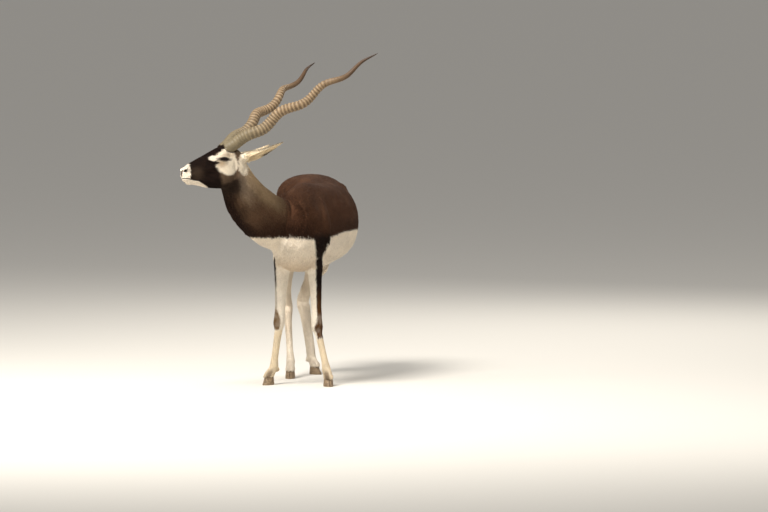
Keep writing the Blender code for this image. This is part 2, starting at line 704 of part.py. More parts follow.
EYE_CENTRE = Vector((0.0015, 0.0395, 0.0015))
EYE_OUT = Vector((0.20, 0.97, 0.06)).normalized()
EYE_SLOPE = math.radians(14)


def eye_centre(hand):
    return in_head(EYE_CENTRE.x, hand * EYE_CENTRE.y, EYE_CENTRE.z)


def make_lid_opening(hand):
    """An almond prism that opens the lids; its inner end stays within the eyeball's socket."""
    outward = Vector((EYE_OUT.x, EYE_OUT.y, EYE_OUT.z))
    along = Vector((math.cos(EYE_SLOPE), 0, math.sin(EYE_SLOPE)))
    along = (along - outward * along.dot(outward)).normalized()
    upward = outward.cross(along)
    if upward.z < 0:
        upward = -upward
    rings = []
    for depth, grow in ((0.0065, 1.0), (0.030, 1.25)):
        ring = []
        for i in range(20):
            angle = 2 * math.pi * i / 20
            c, s = math.cos(angle), math.sin(angle)
            high = 0.0068 if s > 0 else 0.0060
            spot = EYE_CENTRE + outward * depth
            spot = spot + along * c * 0.0140 * grow + upward * s * abs(s) ** 0.25 * high * grow
            ring.append(in_head(spot.x, hand * spot.y, spot.z))
        rings.append(ring)
    return loft("lid_opening", rings)


def bump(place, centre, radii, height):
    """A soft swelling over points (n, 3) in the head's frame, the same on both sides."""
    away = (np.stack([place[:, 0], np.abs(place[:, 1]), place[:, 2]], 1) - np.array(centre)) / np.array(radii)
    return height * np.exp(-np.sum(away * away, 1))


FACE = [
    ((-0.002, 0.050, 0.024), (0.022, 0.012, 0.008), 0.0030),
    ((0.046, 0.036, -0.002), (0.017, 0.012, 0.010), -0.0042),
    ((0.090, 0.000, 0.028), (0.050, 0.011, 0.020), 0.0022),
    ((0.062, 0.036, -0.045), (0.032, 0.016, 0.018), -0.0045),
    ((0.010, 0.052, -0.022), (0.036, 0.012, 0.008), 0.0028),
    ((0.000, 0.048, -0.066), (0.034, 0.018, 0.032), 0.0016),
    ((-0.042, 0.050, -0.030), (0.014, 0.016, 0.036), -0.0040),
    ((0.152, 0.022, -0.004), (0.011, 0.010, 0.007), 0.0022),
    ((0.143, 0.026, -0.032), (0.022, 0.012, 0.008), 0.0022),
    ((0.148, 0.000, -0.062), (0.014, 0.016, 0.010), 0.0020),
    ((0.171, 0.000, -0.022), (0.010, 0.0025, 0.014), -0.0018),
    ((0.020, 0.000, 0.055), (0.030, 0.014, 0.015), -0.0018),
    ((0.060, 0.000, -0.104), (0.040, 0.012, 0.012), -0.0035),
]


def sculpt_face(mesh):
    count = len(mesh.vertices)
    points = np.empty(count * 3)
    normals = np.empty(count * 3)
    mesh.vertices.foreach_get("co", points)
    mesh.vertices.foreach_get("normal", normals)
    points, normals = points.reshape(-1, 3), normals.reshape(-1, 3)
    axes = np.array([HEAD_FORWARD, HEAD_LEFT, HEAD_UP])
    place = (points - np.array(HEAD_ORIGIN)) @ axes.T
    lift = sum(bump(place, *row) for row in FACE)
    points += normals * lift[:, None]
    mesh.vertices.foreach_set("co", points.ravel())
    mesh.update()


def surface_point(tree, forward, up, hand):
    """Where the face's side lies at a place along and up the head."""
    start = in_head(forward, hand * 0.15, up)
    hit, normal, _, _ = tree.ray_cast(start, -HEAD_LEFT * hand)
    return hit, normal


def make_mouth(head):
    """A flat tube along the lips that carves the mouth line."""
    bm = bmesh.new()
    bm.from_mesh(head.data)
    tree = BVHTree.FromBMesh(bm)
    bm.free()
    line = [(0.108, -0.0590), (0.120, -0.0555), (0.134, -0.0500), (0.147, -0.0440), (0.157, -0.0400)]
    path = []
    for hand in (1, -1):
        side = [surface_point(tree, f, u, hand)[0] for f, u in line]
        path.append(side)
    front, _, _, _ = tree.ray_cast(in_head(0.25, 0, -0.0375), -HEAD_FORWARD)
    whole = smooth_path(path[0] + [front] + path[1][::-1], 2)
    rings = []
    last = len(whole) - 1
    for i, spot in enumerate(whole):
        before, after = whole[max(i - 1, 0)], whole[min(i + 1, last)]
        along = Vector(after - before).normalized()
        inward = along.cross(HEAD_UP).normalized()
        taper = min(1.0, 0.25 + min(i, last - i) / 3)
        rings.append(section(Vector(spot), inward, HEAD_UP, 0.0042 * taper, 0.0009 * taper + 0.0003, 6))
    return loft("mouth", rings)


def make_head():
    cores = [make_skull(), make_neck()] + make_face_masses()
    head = remesh(join(cores, "head"), HEAD_VOXEL)
    relax(head.data, 60, head_blend)
    sculpt_face(head.data)
    keep_side(head, HEAD_CUT[0] - HEAD_CUT[1] * 0.03, HEAD_CUT[1])
    thin_out(head, HEAD_TRIANGLES)
    head.data.materials.append(material("coat_dark"))
    keep_side(head, *plane(HEAD_CUT, 1))
    keep_part(head)
    axes = (HEAD_FORWARD, HEAD_LEFT, HEAD_UP)
    for hand in (1, -1):
        lid = EYE_RADIUS + LID_THICKNESS
        boolean(head, ellipsoid("lid", eye_centre(hand), axes, (lid, lid, lid), 20), "UNION")
        boolean(head, make_horn("horn", hand), "UNION")
        boolean(head, make_ear("ear", hand), "UNION")
    for hand in (1, -1):
        root = horn_point(0.020, hand)
        boolean(head, slab(root, horn_point(0.024, hand) - root, 0.036), "DIFFERENCE")
        ear_base = in_head(EAR_BASE.x, hand * EAR_BASE.y, EAR_BASE.z)
        ear_tip = in_head(EAR_TIP.x, hand * EAR_TIP.y, EAR_TIP.z)
        boolean(head, slab(ear_base.lerp(ear_tip, EAR_CUT), ear_tip - ear_base, 0.030), "DIFFERENCE")
    for hand, side in ((1, "left"), (-1, "right")):
        ear = duplicate(head, "ear_" + side, "coat_pale")
        keep_part(ear, in_head(EAR_TIP.x, hand * EAR_TIP.y, EAR_TIP.z))
        horn = duplicate(head, "horn_" + side, "horn")
        keep_part(horn, horn_point(HORN_LENGTH, hand))
    keep_part(head, in_head(0.169, 0, -0.028))
    boolean(head, make_mouth(head), "DIFFERENCE")
    for hand, side in ((1, "left"), (-1, "right")):
        boolean(head, make_lid_opening(hand), "DIFFERENCE")
        socket = EYE_RADIUS + GAP
        hollow = ellipsoid("socket", eye_centre(hand), axes, (socket, socket, socket), EYE_SEGMENTS)
        boolean(head, hollow, "DIFFERENCE")
        ball = (EYE_RADIUS, EYE_RADIUS, EYE_RADIUS)
        ellipsoid("eye_" + side, eye_centre(hand), axes, ball, EYE_SEGMENTS, "eye")
        boolean(head, make_nostril(hand), "DIFFERENCE")
        boolean(head, make_gland(hand), "DIFFERENCE")
    keep_part(head)
    head.name = "head"
    return head


def make_nostril(hand):
    """A slanting comma-shaped hollow on the side of the muzzle's tip."""
    first = (HEAD_FORWARD * 0.80 + HEAD_UP * 0.25 - HEAD_LEFT * hand * 0.55).normalized()
    second = (HEAD_LEFT * hand * 0.80 + HEAD_FORWARD * 0.55).normalized()
    third = first.cross(second).normalized()
    second = third.cross(first).normalized()
    spot = in_head(0.1565, hand * 0.0205, -0.0120)
    return ellipsoid("nostril", spot, (first, second, third), (0.0085, 0.0060, 0.0032), 12)


def make_gland(hand):
    """The slit of the gland in front of the eye."""
    first = (HEAD_FORWARD * 0.75 - HEAD_UP * 0.66).normalized()
    third = (HEAD_FORWARD * 0.66 + HEAD_UP * 0.75).normalized()
    spot = in_head(0.040, hand * 0.0385, -0.002)
    return ellipsoid("gland", spot, (first, HEAD_LEFT, third), (0.0100, 0.0060, 0.0016), 12)


def head_blend(points):
    near = np.linalg.norm(points - np.array(HEAD_ORIGIN), axis=1)
    head = (points - np.array(HEAD_ORIGIN)) @ np.array(HEAD_FORWARD)
    return np.where(head > 0.10, 0.45, 0.9) * np.clip(near / 0.03, 0.3, 1)


def settle():
    """Turns every surface smooth but for its creases and moves the figure onto the origin."""
    items = [o for o in bpy.data.objects if o.type == "MESH"]
    low = Vector((math.inf,) * 3)
    high = -low
    for item in items:
        for vert in item.data.vertices:
            low = Vector(map(min, low, vert.co))
            high = Vector(map(max, high, vert.co))
    shift = Vector(((low.x + high.x) / 2, (low.y + high.y) / 2, low.z))
    for item in items:
        item.data.transform(Matrix.Translation(-shift))
        item.data.shade_smooth()
        if not item.name.startswith("horn"):
            item.data.set_sharp_from_angle(angle=math.radians(38))
    return shift


def build():
    clear_scene()
    flesh = make_flesh()
    thin_out(flesh, BODY_TRIANGLES)
    part_body(flesh)
    make_head()
    make_claws()
    return settle()


build()
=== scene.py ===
import math

import bpy
import numpy as np
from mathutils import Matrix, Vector
from mathutils.bvhtree import BVHTree


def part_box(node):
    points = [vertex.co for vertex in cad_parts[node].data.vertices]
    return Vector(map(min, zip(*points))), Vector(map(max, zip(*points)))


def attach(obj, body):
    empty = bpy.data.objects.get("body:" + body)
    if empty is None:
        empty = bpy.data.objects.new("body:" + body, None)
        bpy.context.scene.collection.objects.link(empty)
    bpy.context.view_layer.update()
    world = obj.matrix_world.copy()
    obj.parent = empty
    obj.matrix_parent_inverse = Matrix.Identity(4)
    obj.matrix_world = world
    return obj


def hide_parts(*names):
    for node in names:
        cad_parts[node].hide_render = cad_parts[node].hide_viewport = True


# A blackbuck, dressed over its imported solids: one skin, a coat of short tufts, ringed horns, eyes and hooves.
# Metres throughout. The drawing's origin lies under the withers, and SHIFT carries a point to the frame.
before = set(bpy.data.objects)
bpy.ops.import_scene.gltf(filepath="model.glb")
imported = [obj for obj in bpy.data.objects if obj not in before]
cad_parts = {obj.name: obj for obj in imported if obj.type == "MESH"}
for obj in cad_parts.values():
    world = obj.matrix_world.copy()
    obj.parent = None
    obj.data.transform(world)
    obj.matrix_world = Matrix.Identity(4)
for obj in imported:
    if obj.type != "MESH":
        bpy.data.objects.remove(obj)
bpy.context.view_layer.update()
MM = 0.001


def unit(vector):
    """The same direction, one long."""
    vector = np.asarray(vector, float)
    return vector / np.linalg.norm(vector)


HEAD_ORIGIN = np.array([-0.2442, -0.3315, 0.8809])
HEAD_FORWARD = unit([-0.8217, -0.5435, -0.1713])
HEAD_LEFT = unit([0.5306, -0.8394, 0.1179])
HEAD_UP = unit(np.cross(HEAD_FORWARD, HEAD_LEFT))
HEAD_AXES = np.array([HEAD_FORWARD, HEAD_LEFT, HEAD_UP])

EYE_CENTRE = np.array([0.0015, 0.0395, 0.0015])
EYE_OUT = unit([0.20, 0.97, 0.06])
EYE_RADIUS = 15.5 * MM
IRIS_RADIUS = 8.2 * MM
LID_THICKNESS = 1.8 * MM
EYE_SLOPE = math.radians(14)
LID_HALF, LID_ABOVE, LID_BELOW = 14.0 * MM, 6.2 * MM, 5.4 * MM

EAR_BASE = np.array([-0.074, 0.034, -0.012])
EAR_TIP = np.array([-0.236, 0.068, 0.019])
EAR_OPENING = np.array([0.10, 0.45, -0.88])
EAR_BOW = np.array([0, 0, -0.013])
EAR_SHARES = [0, 0.12, 0.3, 0.5, 0.7, 0.86, 1]
EAR_HALF_WIDTHS = [0.036, 0.046, 0.044, 0.033, 0.0222, 0.0122, 0.0016]

HORN_LENGTH = 0.672
HORN_PITCH = 0.1896
HORN_COIL_RADIUS = 0.0096
HORN_ROOT_RADIUS = 23.5 * MM
FAR_HORN_LIFT = 0.024
HORN_START = -12.0 * MM
HORN_SHARES = [-0.05, -0.02, 0.0, 0.25, 0.5, 0.75, 0.9, 0.985, 1.0]
HORN_RADII = [0.0215, 0.0225, 0.0235, 0.0208, 0.0168, 0.0104, 0.0062, 0.0020, 0.0004]
RING_SPACING = 13.0 * MM
RING_HEIGHT = 1.9 * MM

LEG_JOINTS = {
    "foreleg_left": [(0.056, -0.030, 0.575), (0.059, 0.012, 0.462), (0.072, -0.012, 0.228),
                     (0.110, -0.020, 0.066), (0.121, -0.040, 0.034)],
    "foreleg_right": [(-0.052, -0.016, 0.575), (-0.068, 0.034, 0.468), (-0.078, 0.006, 0.238),
                      (-0.102, 0.014, 0.068), (-0.117, -0.004, 0.034)],
    "hindleg_left": [(0.036, 0.522, 0.640), (-0.004, 0.452, 0.464), (-0.084, 0.580, 0.279),
                     (-0.045, 0.538, 0.066), (-0.030, 0.522, 0.034)],
    "hindleg_right": [(-0.100, 0.500, 0.640), (-0.122, 0.374, 0.456), (-0.125, 0.446, 0.268),
                      (-0.092, 0.330, 0.066), (-0.089, 0.308, 0.034)],
}
FLESH = ["torso", "neck", "head", "foreleg_left", "foreleg_right", "hindleg_left", "hindleg_right"]
SWELL, SKIN_VOXEL, HEAD_VOXEL = 0.5 * MM, 3.1 * MM, 1.6 * MM
PATTERN_FACES = 9000
TUFTS_A_PIECE = 32000
HOOVES = sorted(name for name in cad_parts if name.startswith("hoof_"))
NECK_LINE = [(-0.055, -0.055, 0.625), (-0.097, -0.129, 0.650), (-0.147, -0.215, 0.718),
             (-0.178, -0.276, 0.786), (-0.212, -0.318, 0.862)]

TAIL_LINE = [(-0.088, 0.636, 0.722), (-0.100, 0.666, 0.716), (-0.106, 0.680, 0.672),
             (-0.106, 0.680, 0.622), (-0.104, 0.676, 0.587)]


def in_head(forward, left, up):
    """A point of the head's own frame, in the maker's drawing."""
    return HEAD_ORIGIN + HEAD_FORWARD * forward + HEAD_LEFT * left + HEAD_UP * up


def head_point(local, hand):
    """A point of the left side of the head, or its like on the right where hand is -1."""
    return in_head(local[0], hand * local[1], local[2])


eye_low, eye_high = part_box("eye_left")
SHIFT = np.array((eye_low + eye_high) / 2) - in_head(*EYE_CENTRE)


def placed(point):
    """A point of the drawing, in the frame."""
    return Vector(np.asarray(point, float) + SHIFT)


def linear(code):
    """An sRGB hex colour as linear red, green and blue."""
    values = np.array([int(code[i : i + 2], 16) for i in (1, 3, 5)]) / 255
    return np.where(values <= 0.04045, values / 12.92, ((values + 0.055) / 1.055) ** 2.4)


def ease(value, start, end):
    """0 before start, 1 after end, smooth between."""
    share = np.clip((value - start) / (end - start), 0, 1)
    return share * share * (3 - 2 * share)


def bell(value, width):
    """1 where value is 0, falling away on both sides over the width."""
    return np.exp(-((value / width) ** 2))


def mix(under, over, share):
    """A value, or one for each point, with another laid over it by share; a name is a colour of the coat."""
    under, over = (COAT[value] if isinstance(value, str) else np.asarray(value) for value in (under, over))
    return under + (over - under) * np.asarray(share)[..., None]


def layered(under, *rows):
    """A value with others laid over it in turn; each row is what is laid and its share."""
    for over, share in rows:
        under = mix(under, over, share)
    return under


def wander(points, size, seed=0.0):
    """A smooth uneven field between about -1 and 1, with lumps of the given size."""
    x, y, z = (np.asarray(points) / size + seed).T
    return (
        np.sin(1.7 * x + 1.3 * np.sin(1.1 * y + 0.7)) * np.cos(1.5 * y + 1.2 * np.sin(1.3 * z))
        + np.sin(1.9 * z + 1.4 * np.sin(0.9 * x + 2.1)) * 0.7
        + np.sin(3.3 * x + 2.9 * y - 3.7 * z + 1.3) * 0.3
    ) / 1.7


def pick_only(*items):
    """These objects selected and nothing else, the first one active."""
    bpy.ops.object.select_all(action="DESELECT")
    for item in items:
        item.select_set(True)
    bpy.context.view_layer.objects.active = items[0]


def apply_step(item, kind, **settings):
    """Adds one modifier, sets it and applies it."""
    pick_only(item)
    step = item.modifiers.new(kind.lower(), kind)
    for name, value in settings.items():
        setattr(step, name, value)
    bpy.ops.object.modifier_apply(modifier=step.name)
    return item


def named(name):
    """The active object, just added, under its own name with its place in its mesh."""
    item = bpy.context.object
    item.name = name
    bpy.ops.object.transform_apply(location=True, rotation=True, scale=True)
    return item


def linked(name, data):
    """A new object of this data, in the scene."""
    made = bpy.data.objects.new(name, data)
    bpy.context.scene.collection.objects.link(made)
    return made


def edit_whole(item, step, **settings):
    """One step of edit mode on the whole of a mesh."""
    pick_only(item)
    bpy.ops.object.mode_set(mode="EDIT")
    bpy.ops.mesh.select_all(action="SELECT")
    step(**settings)
    bpy.ops.object.mode_set(mode="OBJECT")


def step_in_zone(item, zone, kind, **settings):
    """One modifier held to the vertices whose share of the zone is above 0."""
    group = item.vertex_groups.new(name="zone")
    for i in np.nonzero(zone > 0)[0]:
        group.add([int(i)], float(zone[i]), "REPLACE")
    apply_step(item, kind, vertex_group="zone", **settings)
    item.vertex_groups.clear()


def add_ball(name, place, radius, segments):
    """A ball about a place of the frame."""
    bpy.ops.object.select_all(action="DESELECT")
    rings = segments // 2
    bpy.ops.mesh.primitive_uv_sphere_add(segments=segments, ring_count=rings, radius=radius, location=place)
    return named(name)


def join(name, items):
    pick_only(*items)
    bpy.ops.object.join()
    items[0].name = name
    return items[0]


def places_of(mesh):
    """Vertex places (n, 3) of a mesh."""
    flat = np.empty(len(mesh.vertices) * 3)
    mesh.vertices.foreach_get("co", flat)
    return flat.reshape(-1, 3)


def normals_of(mesh):
    flat = np.empty(len(mesh.vertices) * 3)
    mesh.vertex_normals.foreach_get("vector", flat)
    return flat.reshape(-1, 3)


def put_places(mesh, points):
    mesh.vertices.foreach_set("co", np.ascontiguousarray(points, dtype=np.float32).ravel())
    mesh.update()


def paint(mesh, name, colours):
    """A colour for each vertex, under a name that the materials read."""
    layer = mesh.color_attributes.get(name) or mesh.color_attributes.new(name, "FLOAT_COLOR", "POINT")
    whole = np.ones((len(colours), 4), np.float32)
    whole[:, :3] = colours
    layer.data.foreach_set("color", whole.ravel())


def head_frame(points):
    """Drawing points (n, 3) as forward, left and up in the head's frame."""
    return (points - HEAD_ORIGIN) @ HEAD_AXES.T


def select_faces(item, chosen):
    """Edit mode with only these faces selected; chosen is one truth value a face."""
    pick_only(item)
    mesh = item.data
    mesh.vertices.foreach_set("select", np.zeros(len(mesh.vertices), bool))
    mesh.edges.foreach_set("select", np.zeros(len(mesh.edges), bool))
    mesh.polygons.foreach_set("select", chosen)
    bpy.ops.object.mode_set(mode="EDIT")
    bpy.ops.mesh.select_mode(type="FACE")


def face_middles(mesh):
    flat = np.empty(len(mesh.polygons) * 3)
    mesh.polygons.foreach_get("center", flat)
    return flat.reshape(-1, 3)


def flesh_copy(names, extra):
    """Copies of the flesh nodes, their facets merged and swelled to overlap, joined with extra balls."""
    copies = []
    for name in names:
        copy = linked(name + "_copy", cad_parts[name].data.copy())
        edit_whole(copy, bpy.ops.mesh.remove_doubles, threshold=0.01 * MM)
        apply_step(copy, "DISPLACE", strength=SWELL, mid_level=0.0)
        copies.append(copy)
    copies += [add_ball("ball", placed(place), radius, 40) for place, radius in extra]
    return join("flesh", copies)


def ear_plugs():
    """Balls that close the tube at each ear's root."""
    plugs = []
    for hand in (1, -1):
        for share, inward, radius in ((0.05, 6, 17), (0.11, 6, 15.5), (0.17, 7, 12), (0.22, 8, 9)):
            spot = EAR_BASE + (EAR_TIP - EAR_BASE) * share - EAR_OPENING * inward * MM
            plugs.append((head_point(spot, hand), radius * MM))
    return plugs


def make_skin():
    """One closed skin over all the flesh: fused, relaxed, fine on the head and plain on the body."""
    lids = [(head_point(EYE_CENTRE, hand), EYE_RADIUS + LID_THICKNESS) for hand in (1, -1)]
    tail = []
    for start, end, first, last in zip(TAIL_LINE, TAIL_LINE[1:], (15, 13.5, 10, 7.5), (13.5, 10, 7.5, 4)):
        for share in (0, 0.25, 0.5, 0.75):
            spot = np.array(start) + (np.array(end) - np.array(start)) * share
            tail.append((spot, (first + (last - first) * share) * MM))
    skin = flesh_copy(FLESH, lids + tail + ear_plugs())
    skin.name = "skin"
    skin.data.materials.clear()
    apply_step(skin, "REMESH", mode="VOXEL", voxel_size=SKIN_VOXEL)
    apply_step(skin, "SMOOTH", factor=0.5, iterations=10)
    select_faces(skin, head_frame(face_middles(skin.data) - SHIFT)[:, 0] < -0.12)
    bpy.ops.mesh.decimate(ratio=0.42)
    bpy.ops.object.mode_set(mode="OBJECT")
    for whole_head in (True, False):
        side = mirrored(head_frame(face_middles(skin.data) - SHIFT))
        chosen = np.linalg.norm(side - EYE_CENTRE, axis=1) < 0.030
        chosen |= (side[:, 0] > 0.100) & (side[:, 2] < 0.004)
        select_faces(skin, side[:, 0] > -0.085 if whole_head else chosen)
        bpy.ops.mesh.subdivide(number_cuts=1)
        bpy.ops.mesh.select_all(action="SELECT")
        bpy.ops.mesh.quads_convert_to_tris()
        bpy.ops.object.mode_set(mode="OBJECT")
    form = flesh_copy(["head", "neck"], lids)
    apply_step(form, "REMESH", mode="VOXEL", voxel_size=HEAD_VOXEL)
    apply_step(form, "SMOOTH", factor=0.5, iterations=8)
    head = ease(head_frame(places_of(skin.data) - SHIFT)[:, 0], -0.075, -0.045)
    step_in_zone(skin, head, "SHRINKWRAP", target=form)
    bpy.data.objects.remove(form, do_unlink=True)
    step_in_zone(skin, head, "SMOOTH", factor=0.5, iterations=2)
    y, z = (places_of(skin.data) - SHIFT).T[1:]
    trunk = ease(z, 0.50, 0.56) * ease(y, -0.10, -0.04) * (1 - ease(y, 0.60, 0.63))
    step_in_zone(skin, trunk, "SMOOTH", factor=0.5, iterations=16)
    spots = places_of(skin.data) - SHIFT
    hocks = [LEG_JOINTS[name][2] for name in ("hindleg_left", "hindleg_right")]
    gap = np.min([np.linalg.norm(spots - np.array(hock), axis=1) for hock in hocks], axis=0)
    step_in_zone(skin, 1 - ease(gap, 0.035, 0.060), "SMOOTH", factor=0.5, iterations=14)
    return skin


def polyline_distance(points, line):
    """How far each point lies from a line of points, and how far along it, from 0 to 1."""
    line = np.asarray(line, float)
    best = np.full(len(points), 9.0)
    along = np.zeros(len(points))
    for i, (start, end) in enumerate(zip(line, line[1:])):
        way = end - start
        share = np.clip((points - start) @ way / (way @ way), 0, 1)
        gap = np.linalg.norm(points - start - share[:, None] * way, axis=1)
        nearer = gap < best
        best = np.where(nearer, gap, best)
        along = np.where(nearer, (i + share) / (len(line) - 1), along)
    return best, along


def on_tail(points):
    """True on the tail, beyond its root."""
    return (polyline_distance(points, TAIL_LINE[1:])[0] < 0.021) & (points[:, 1] > 0.650)


def swell(place, rows):
    """Soft swellings or hollows over points: each row is a centre, three radii and a height in mm."""
    lift = 0
    for centre, radii, height in rows:
        away = (place - np.array(centre)) / np.array(radii)
        lift = lift + height * MM * np.exp(-np.sum(away * away, 1))
    return lift


NOSTRIL = np.array([0.1560, 0.0200, -0.0100])
MOUTH = ([0.100, 0.108, 0.120, 0.134, 0.147, 0.157, 0.172],
         [-0.062, -0.0590, -0.0555, -0.0500, -0.0440, -0.0400, -0.0372])
GLAND = np.array([[0.030, 0.0, 0.004], [0.041, 0.0, -0.002], [0.052, 0.0, -0.011]])


def mirrored(place):
    """Head-frame points with both sides of the face laid over each other."""
    return np.stack([place[:, 0], np.abs(place[:, 1]), place[:, 2]], 1)


def nostril_reach(side):
    """0 in the middle of the nostril's comma, 1 at its rim."""
    away = side - NOSTRIL
    along = away @ unit([0.86, -0.44, -0.22])
    up = away[:, 2] + 0.16 * along - 45 * np.clip(-along, 0, 1) ** 2
    thick = np.interp(along, [-0.010, 0.002, 0.010], [0.0030, 0.0048, 0.0044])
    return np.sqrt((along / 0.0098) ** 2 + (up / thick) ** 2 + (away[:, 1] / 0.022) ** 2)


def mouth_gap(place):
    """Signed height above the line of the lips, and how open the line is there."""
    return place[:, 2] - np.interp(place[:, 0], *MOUTH), ease(place[:, 0], 0.102, 0.114)


def gland_gap(side):
    """How far a point lies from the tear slit, seen from the side."""
    return polyline_distance(side * np.array([1, 0, 1]), GLAND)[0]


def lid_gap(side):
    """How far a point lies from the edge of the lids' opening."""
    ring = np.array([EYE_CENTRE + on_lid(spot, EYE_RADIUS + LID_THICKNESS) for spot in almond(1.0, 48)])
    ring = np.vstack([ring, ring[:1]])
    return polyline_distance(side, ring)[0]


FOLDS = [
    ((-0.002, 0.050, 0.0235), (0.020, 0.014, 0.0055), 2.6),
    ((0.004, 0.052, -0.0165), (0.016, 0.012, 0.0040), 1.4),
    ((0.046, 0.036, -0.002), (0.017, 0.012, 0.010), -2.0),
    ((0.143, 0.028, -0.030), (0.018, 0.014, 0.009), 2.2),
    ((0.150, 0.026, -0.003), (0.013, 0.012, 0.006), 2.4),
    ((0.150, 0.000, -0.060), (0.013, 0.018, 0.009), 3.0),
    ((0.130, 0.020, -0.058), (0.020, 0.014, 0.008), -1.2),
    ((0.172, 0.000, -0.028), (0.010, 0.0014, 0.010), -1.2),
    ((0.165, 0.010, -0.024), (0.010, 0.006, 0.008), 1.2),
    ((0.075, 0.036, -0.020), (0.040, 0.014, 0.006), 1.6),
    ((0.085, 0.032, -0.046), (0.030, 0.014, 0.012), -2.4),
    ((-0.004, 0.048, -0.066), (0.032, 0.018, 0.030), 2.2),
    ((-0.038, 0.050, -0.050), (0.010, 0.016, 0.036), -2.6),
    ((0.010, 0.040, -0.094), (0.040, 0.020, 0.008), 1.6),
]


def sculpt_head(skin):
    """Folds of the lids, brow and cheek, the tear slit, lips and nostrils, by moving the skin's points."""
    points, normals = places_of(skin.data), normals_of(skin.data)
    side = mirrored(head_frame(points - SHIFT))
    lift = swell(side, FOLDS) / MM
    gap = gland_gap(side) / MM
    lift += (bell(gap - 3.5, 2.0) - 2.6 * bell(gap, 1.5)) * (side[:, 1] > 0.015)
    rim = lid_gap(side) / MM
    lift += 0.9 * (bell(rim, 2.4) - bell(rim - 5.5, 1.5))
    above, open_here = mouth_gap(side)
    above = above / MM
    lift += open_here * (1.3 * bell(np.abs(above) - 3.2, 2.2) - 2.6 * bell(above, 0.95))
    reach = nostril_reach(side)
    lift += 1.3 * bell(reach - 1.45, 0.35) * (side[:, 0] > 0.13) - 6.5 * (1 - ease(reach, 0.35, 1.05))
    within = ease(side[:, 0], -0.10, -0.06)
    put_places(skin.data, points + normals * (lift * MM * within)[:, None])


BODY_FOLDS = [
    ((0.042, -0.165, 0.535), (0.040, 0.060, 0.026), 5.0),
    ((-0.058, -0.165, 0.535), (0.040, 0.060, 0.026), 5.0),
    ((0.010, -0.150, 0.494), (0.070, 0.060, 0.013), -3.5),
    ((-0.010, -0.140, 0.460), (0.035, 0.060, 0.016), 3.0),
    ((0.075, 0.010, 0.640), (0.035, 0.022, 0.070), 4.0),
    ((0.085, 0.075, 0.620), (0.050, 0.022, 0.080), -3.5),
    ((0.120, 0.250, 0.560), (0.060, 0.110, 0.060), 3.0),
    ((0.110, 0.420, 0.600), (0.060, 0.030, 0.070), -4.0),
    ((0.060, 0.520, 0.730), (0.040, 0.050, 0.025), 4.0),
    ((-0.115, 0.075, 0.620), (0.050, 0.022, 0.080), -3.5),
    ((-0.150, 0.420, 0.600), (0.060, 0.030, 0.070), -4.0),
]


def shape_body(skin):
    """Swellings and hollows of the breast, shoulder, flank and hip, and the folds where the neck joins."""
    points, normals = places_of(skin.data), normals_of(skin.data)
    place = points - SHIFT
    lift = swell(place, BODY_FOLDS)
    gap, along = polyline_distance(place, NECK_LINE)
    near = (1 - ease(gap, 0.12, 0.16)) * ease(along, -0.02, 0.04) * (1 - ease(along, 0.22, 0.38))
    wave = along + 0.10 * (place[:, 2] - 0.62) + 0.012 * wander(place, 0.04, 2.0)
    lift += 1.0 * MM * np.sin(wave * 2 * math.pi / 0.075) * near * ease(place[:, 2], 0.575, 0.60)
    put_places(skin.data, points + normals * lift[:, None])


def limbs(points):
    """How far each point lies from each leg's line of joints."""
    return {name: polyline_distance(points, joints)[0] for name, joints in LEG_JOINTS.items()}


def coat_depth(points):
    """How deep the skin lies under the coat's outer face."""
    head = head_frame(points)
    face = ease(head[:, 0], -0.09, 0.02) * (head[:, 2] > -0.2)
    low = 1 - ease(points[:, 2], 0.25, 0.45)
    return (2.4 - 1.5 * face - 2.3 * low * (1 - face)) * MM


def sink_skin(skin):
    points, normals = places_of(skin.data), normals_of(skin.data)
    put_places(skin.data, points - normals * coat_depth(points - SHIFT)[:, None])


COAT = {name: linear(code) for name, code in {
    "body": "#4e3323", "ridge": "#6b4c38", "deep": "#24130b", "neck": "#5e4836", "upper_neck": "#a5917a",
    "nape": "#b39a78", "white": "#f0e4d2", "cream": "#e9d8bb", "tan": "#dcb683", "mask": "#190f0b",
    "ring": "#e8dcc8",
    "cheek": "#614f3f", "grey": "#857361", "thigh": "#5a4434", "rufous": "#8c5326", "shank": "#7a5937",
    "ear": "#f3e3c6", "rim": "#3a2a1f", "knee": "#5a3b20", "far_knee": "#7b6040",
    "lip": "#1b110d", "pad": "#33261f", "lid": "#1d120b",
    "painted_shade": "#a88f6e", "hollow": "#f0ddba", "brisket_shade": "#cdb393", "sunlit": "#fcf4e6",
}.items()}


def ellipse(a, b, centre, half, soft=0.12):
    """1 inside an ellipse and 0 outside, with a soft edge."""
    away = np.sqrt(((a - centre[0]) / half[0]) ** 2 + ((b - centre[1]) / half[1]) ** 2)
    return 1 - ease(away, 1 - soft, 1 + soft)


def ear_place(points):
    """Share of the way along the ear's line, how far off that line, and how far above it."""
    side = mirrored(head_frame(points))
    axis = EAR_TIP - EAR_BASE
    share = (side - EAR_BASE) @ axis / (axis @ axis)
    middle = EAR_BASE + axis * np.clip(share, 0, 1)[:, None] + EAR_BOW * np.sin(np.pi * share)[:, None]
    return share, np.linalg.norm(side - middle, axis=1), side[:, 2] - middle[:, 2]


def ear_inside(points, normals):
    """1 on the ear's hollow side, 0 on its back."""
    place, facing = head_frame(points), normals @ HEAD_AXES.T
    way = np.stack([facing[:, 0], facing[:, 1] * np.sign(place[:, 1]), facing[:, 2]], 1) @ EAR_OPENING
    return ease(way, 0.0, 0.25)


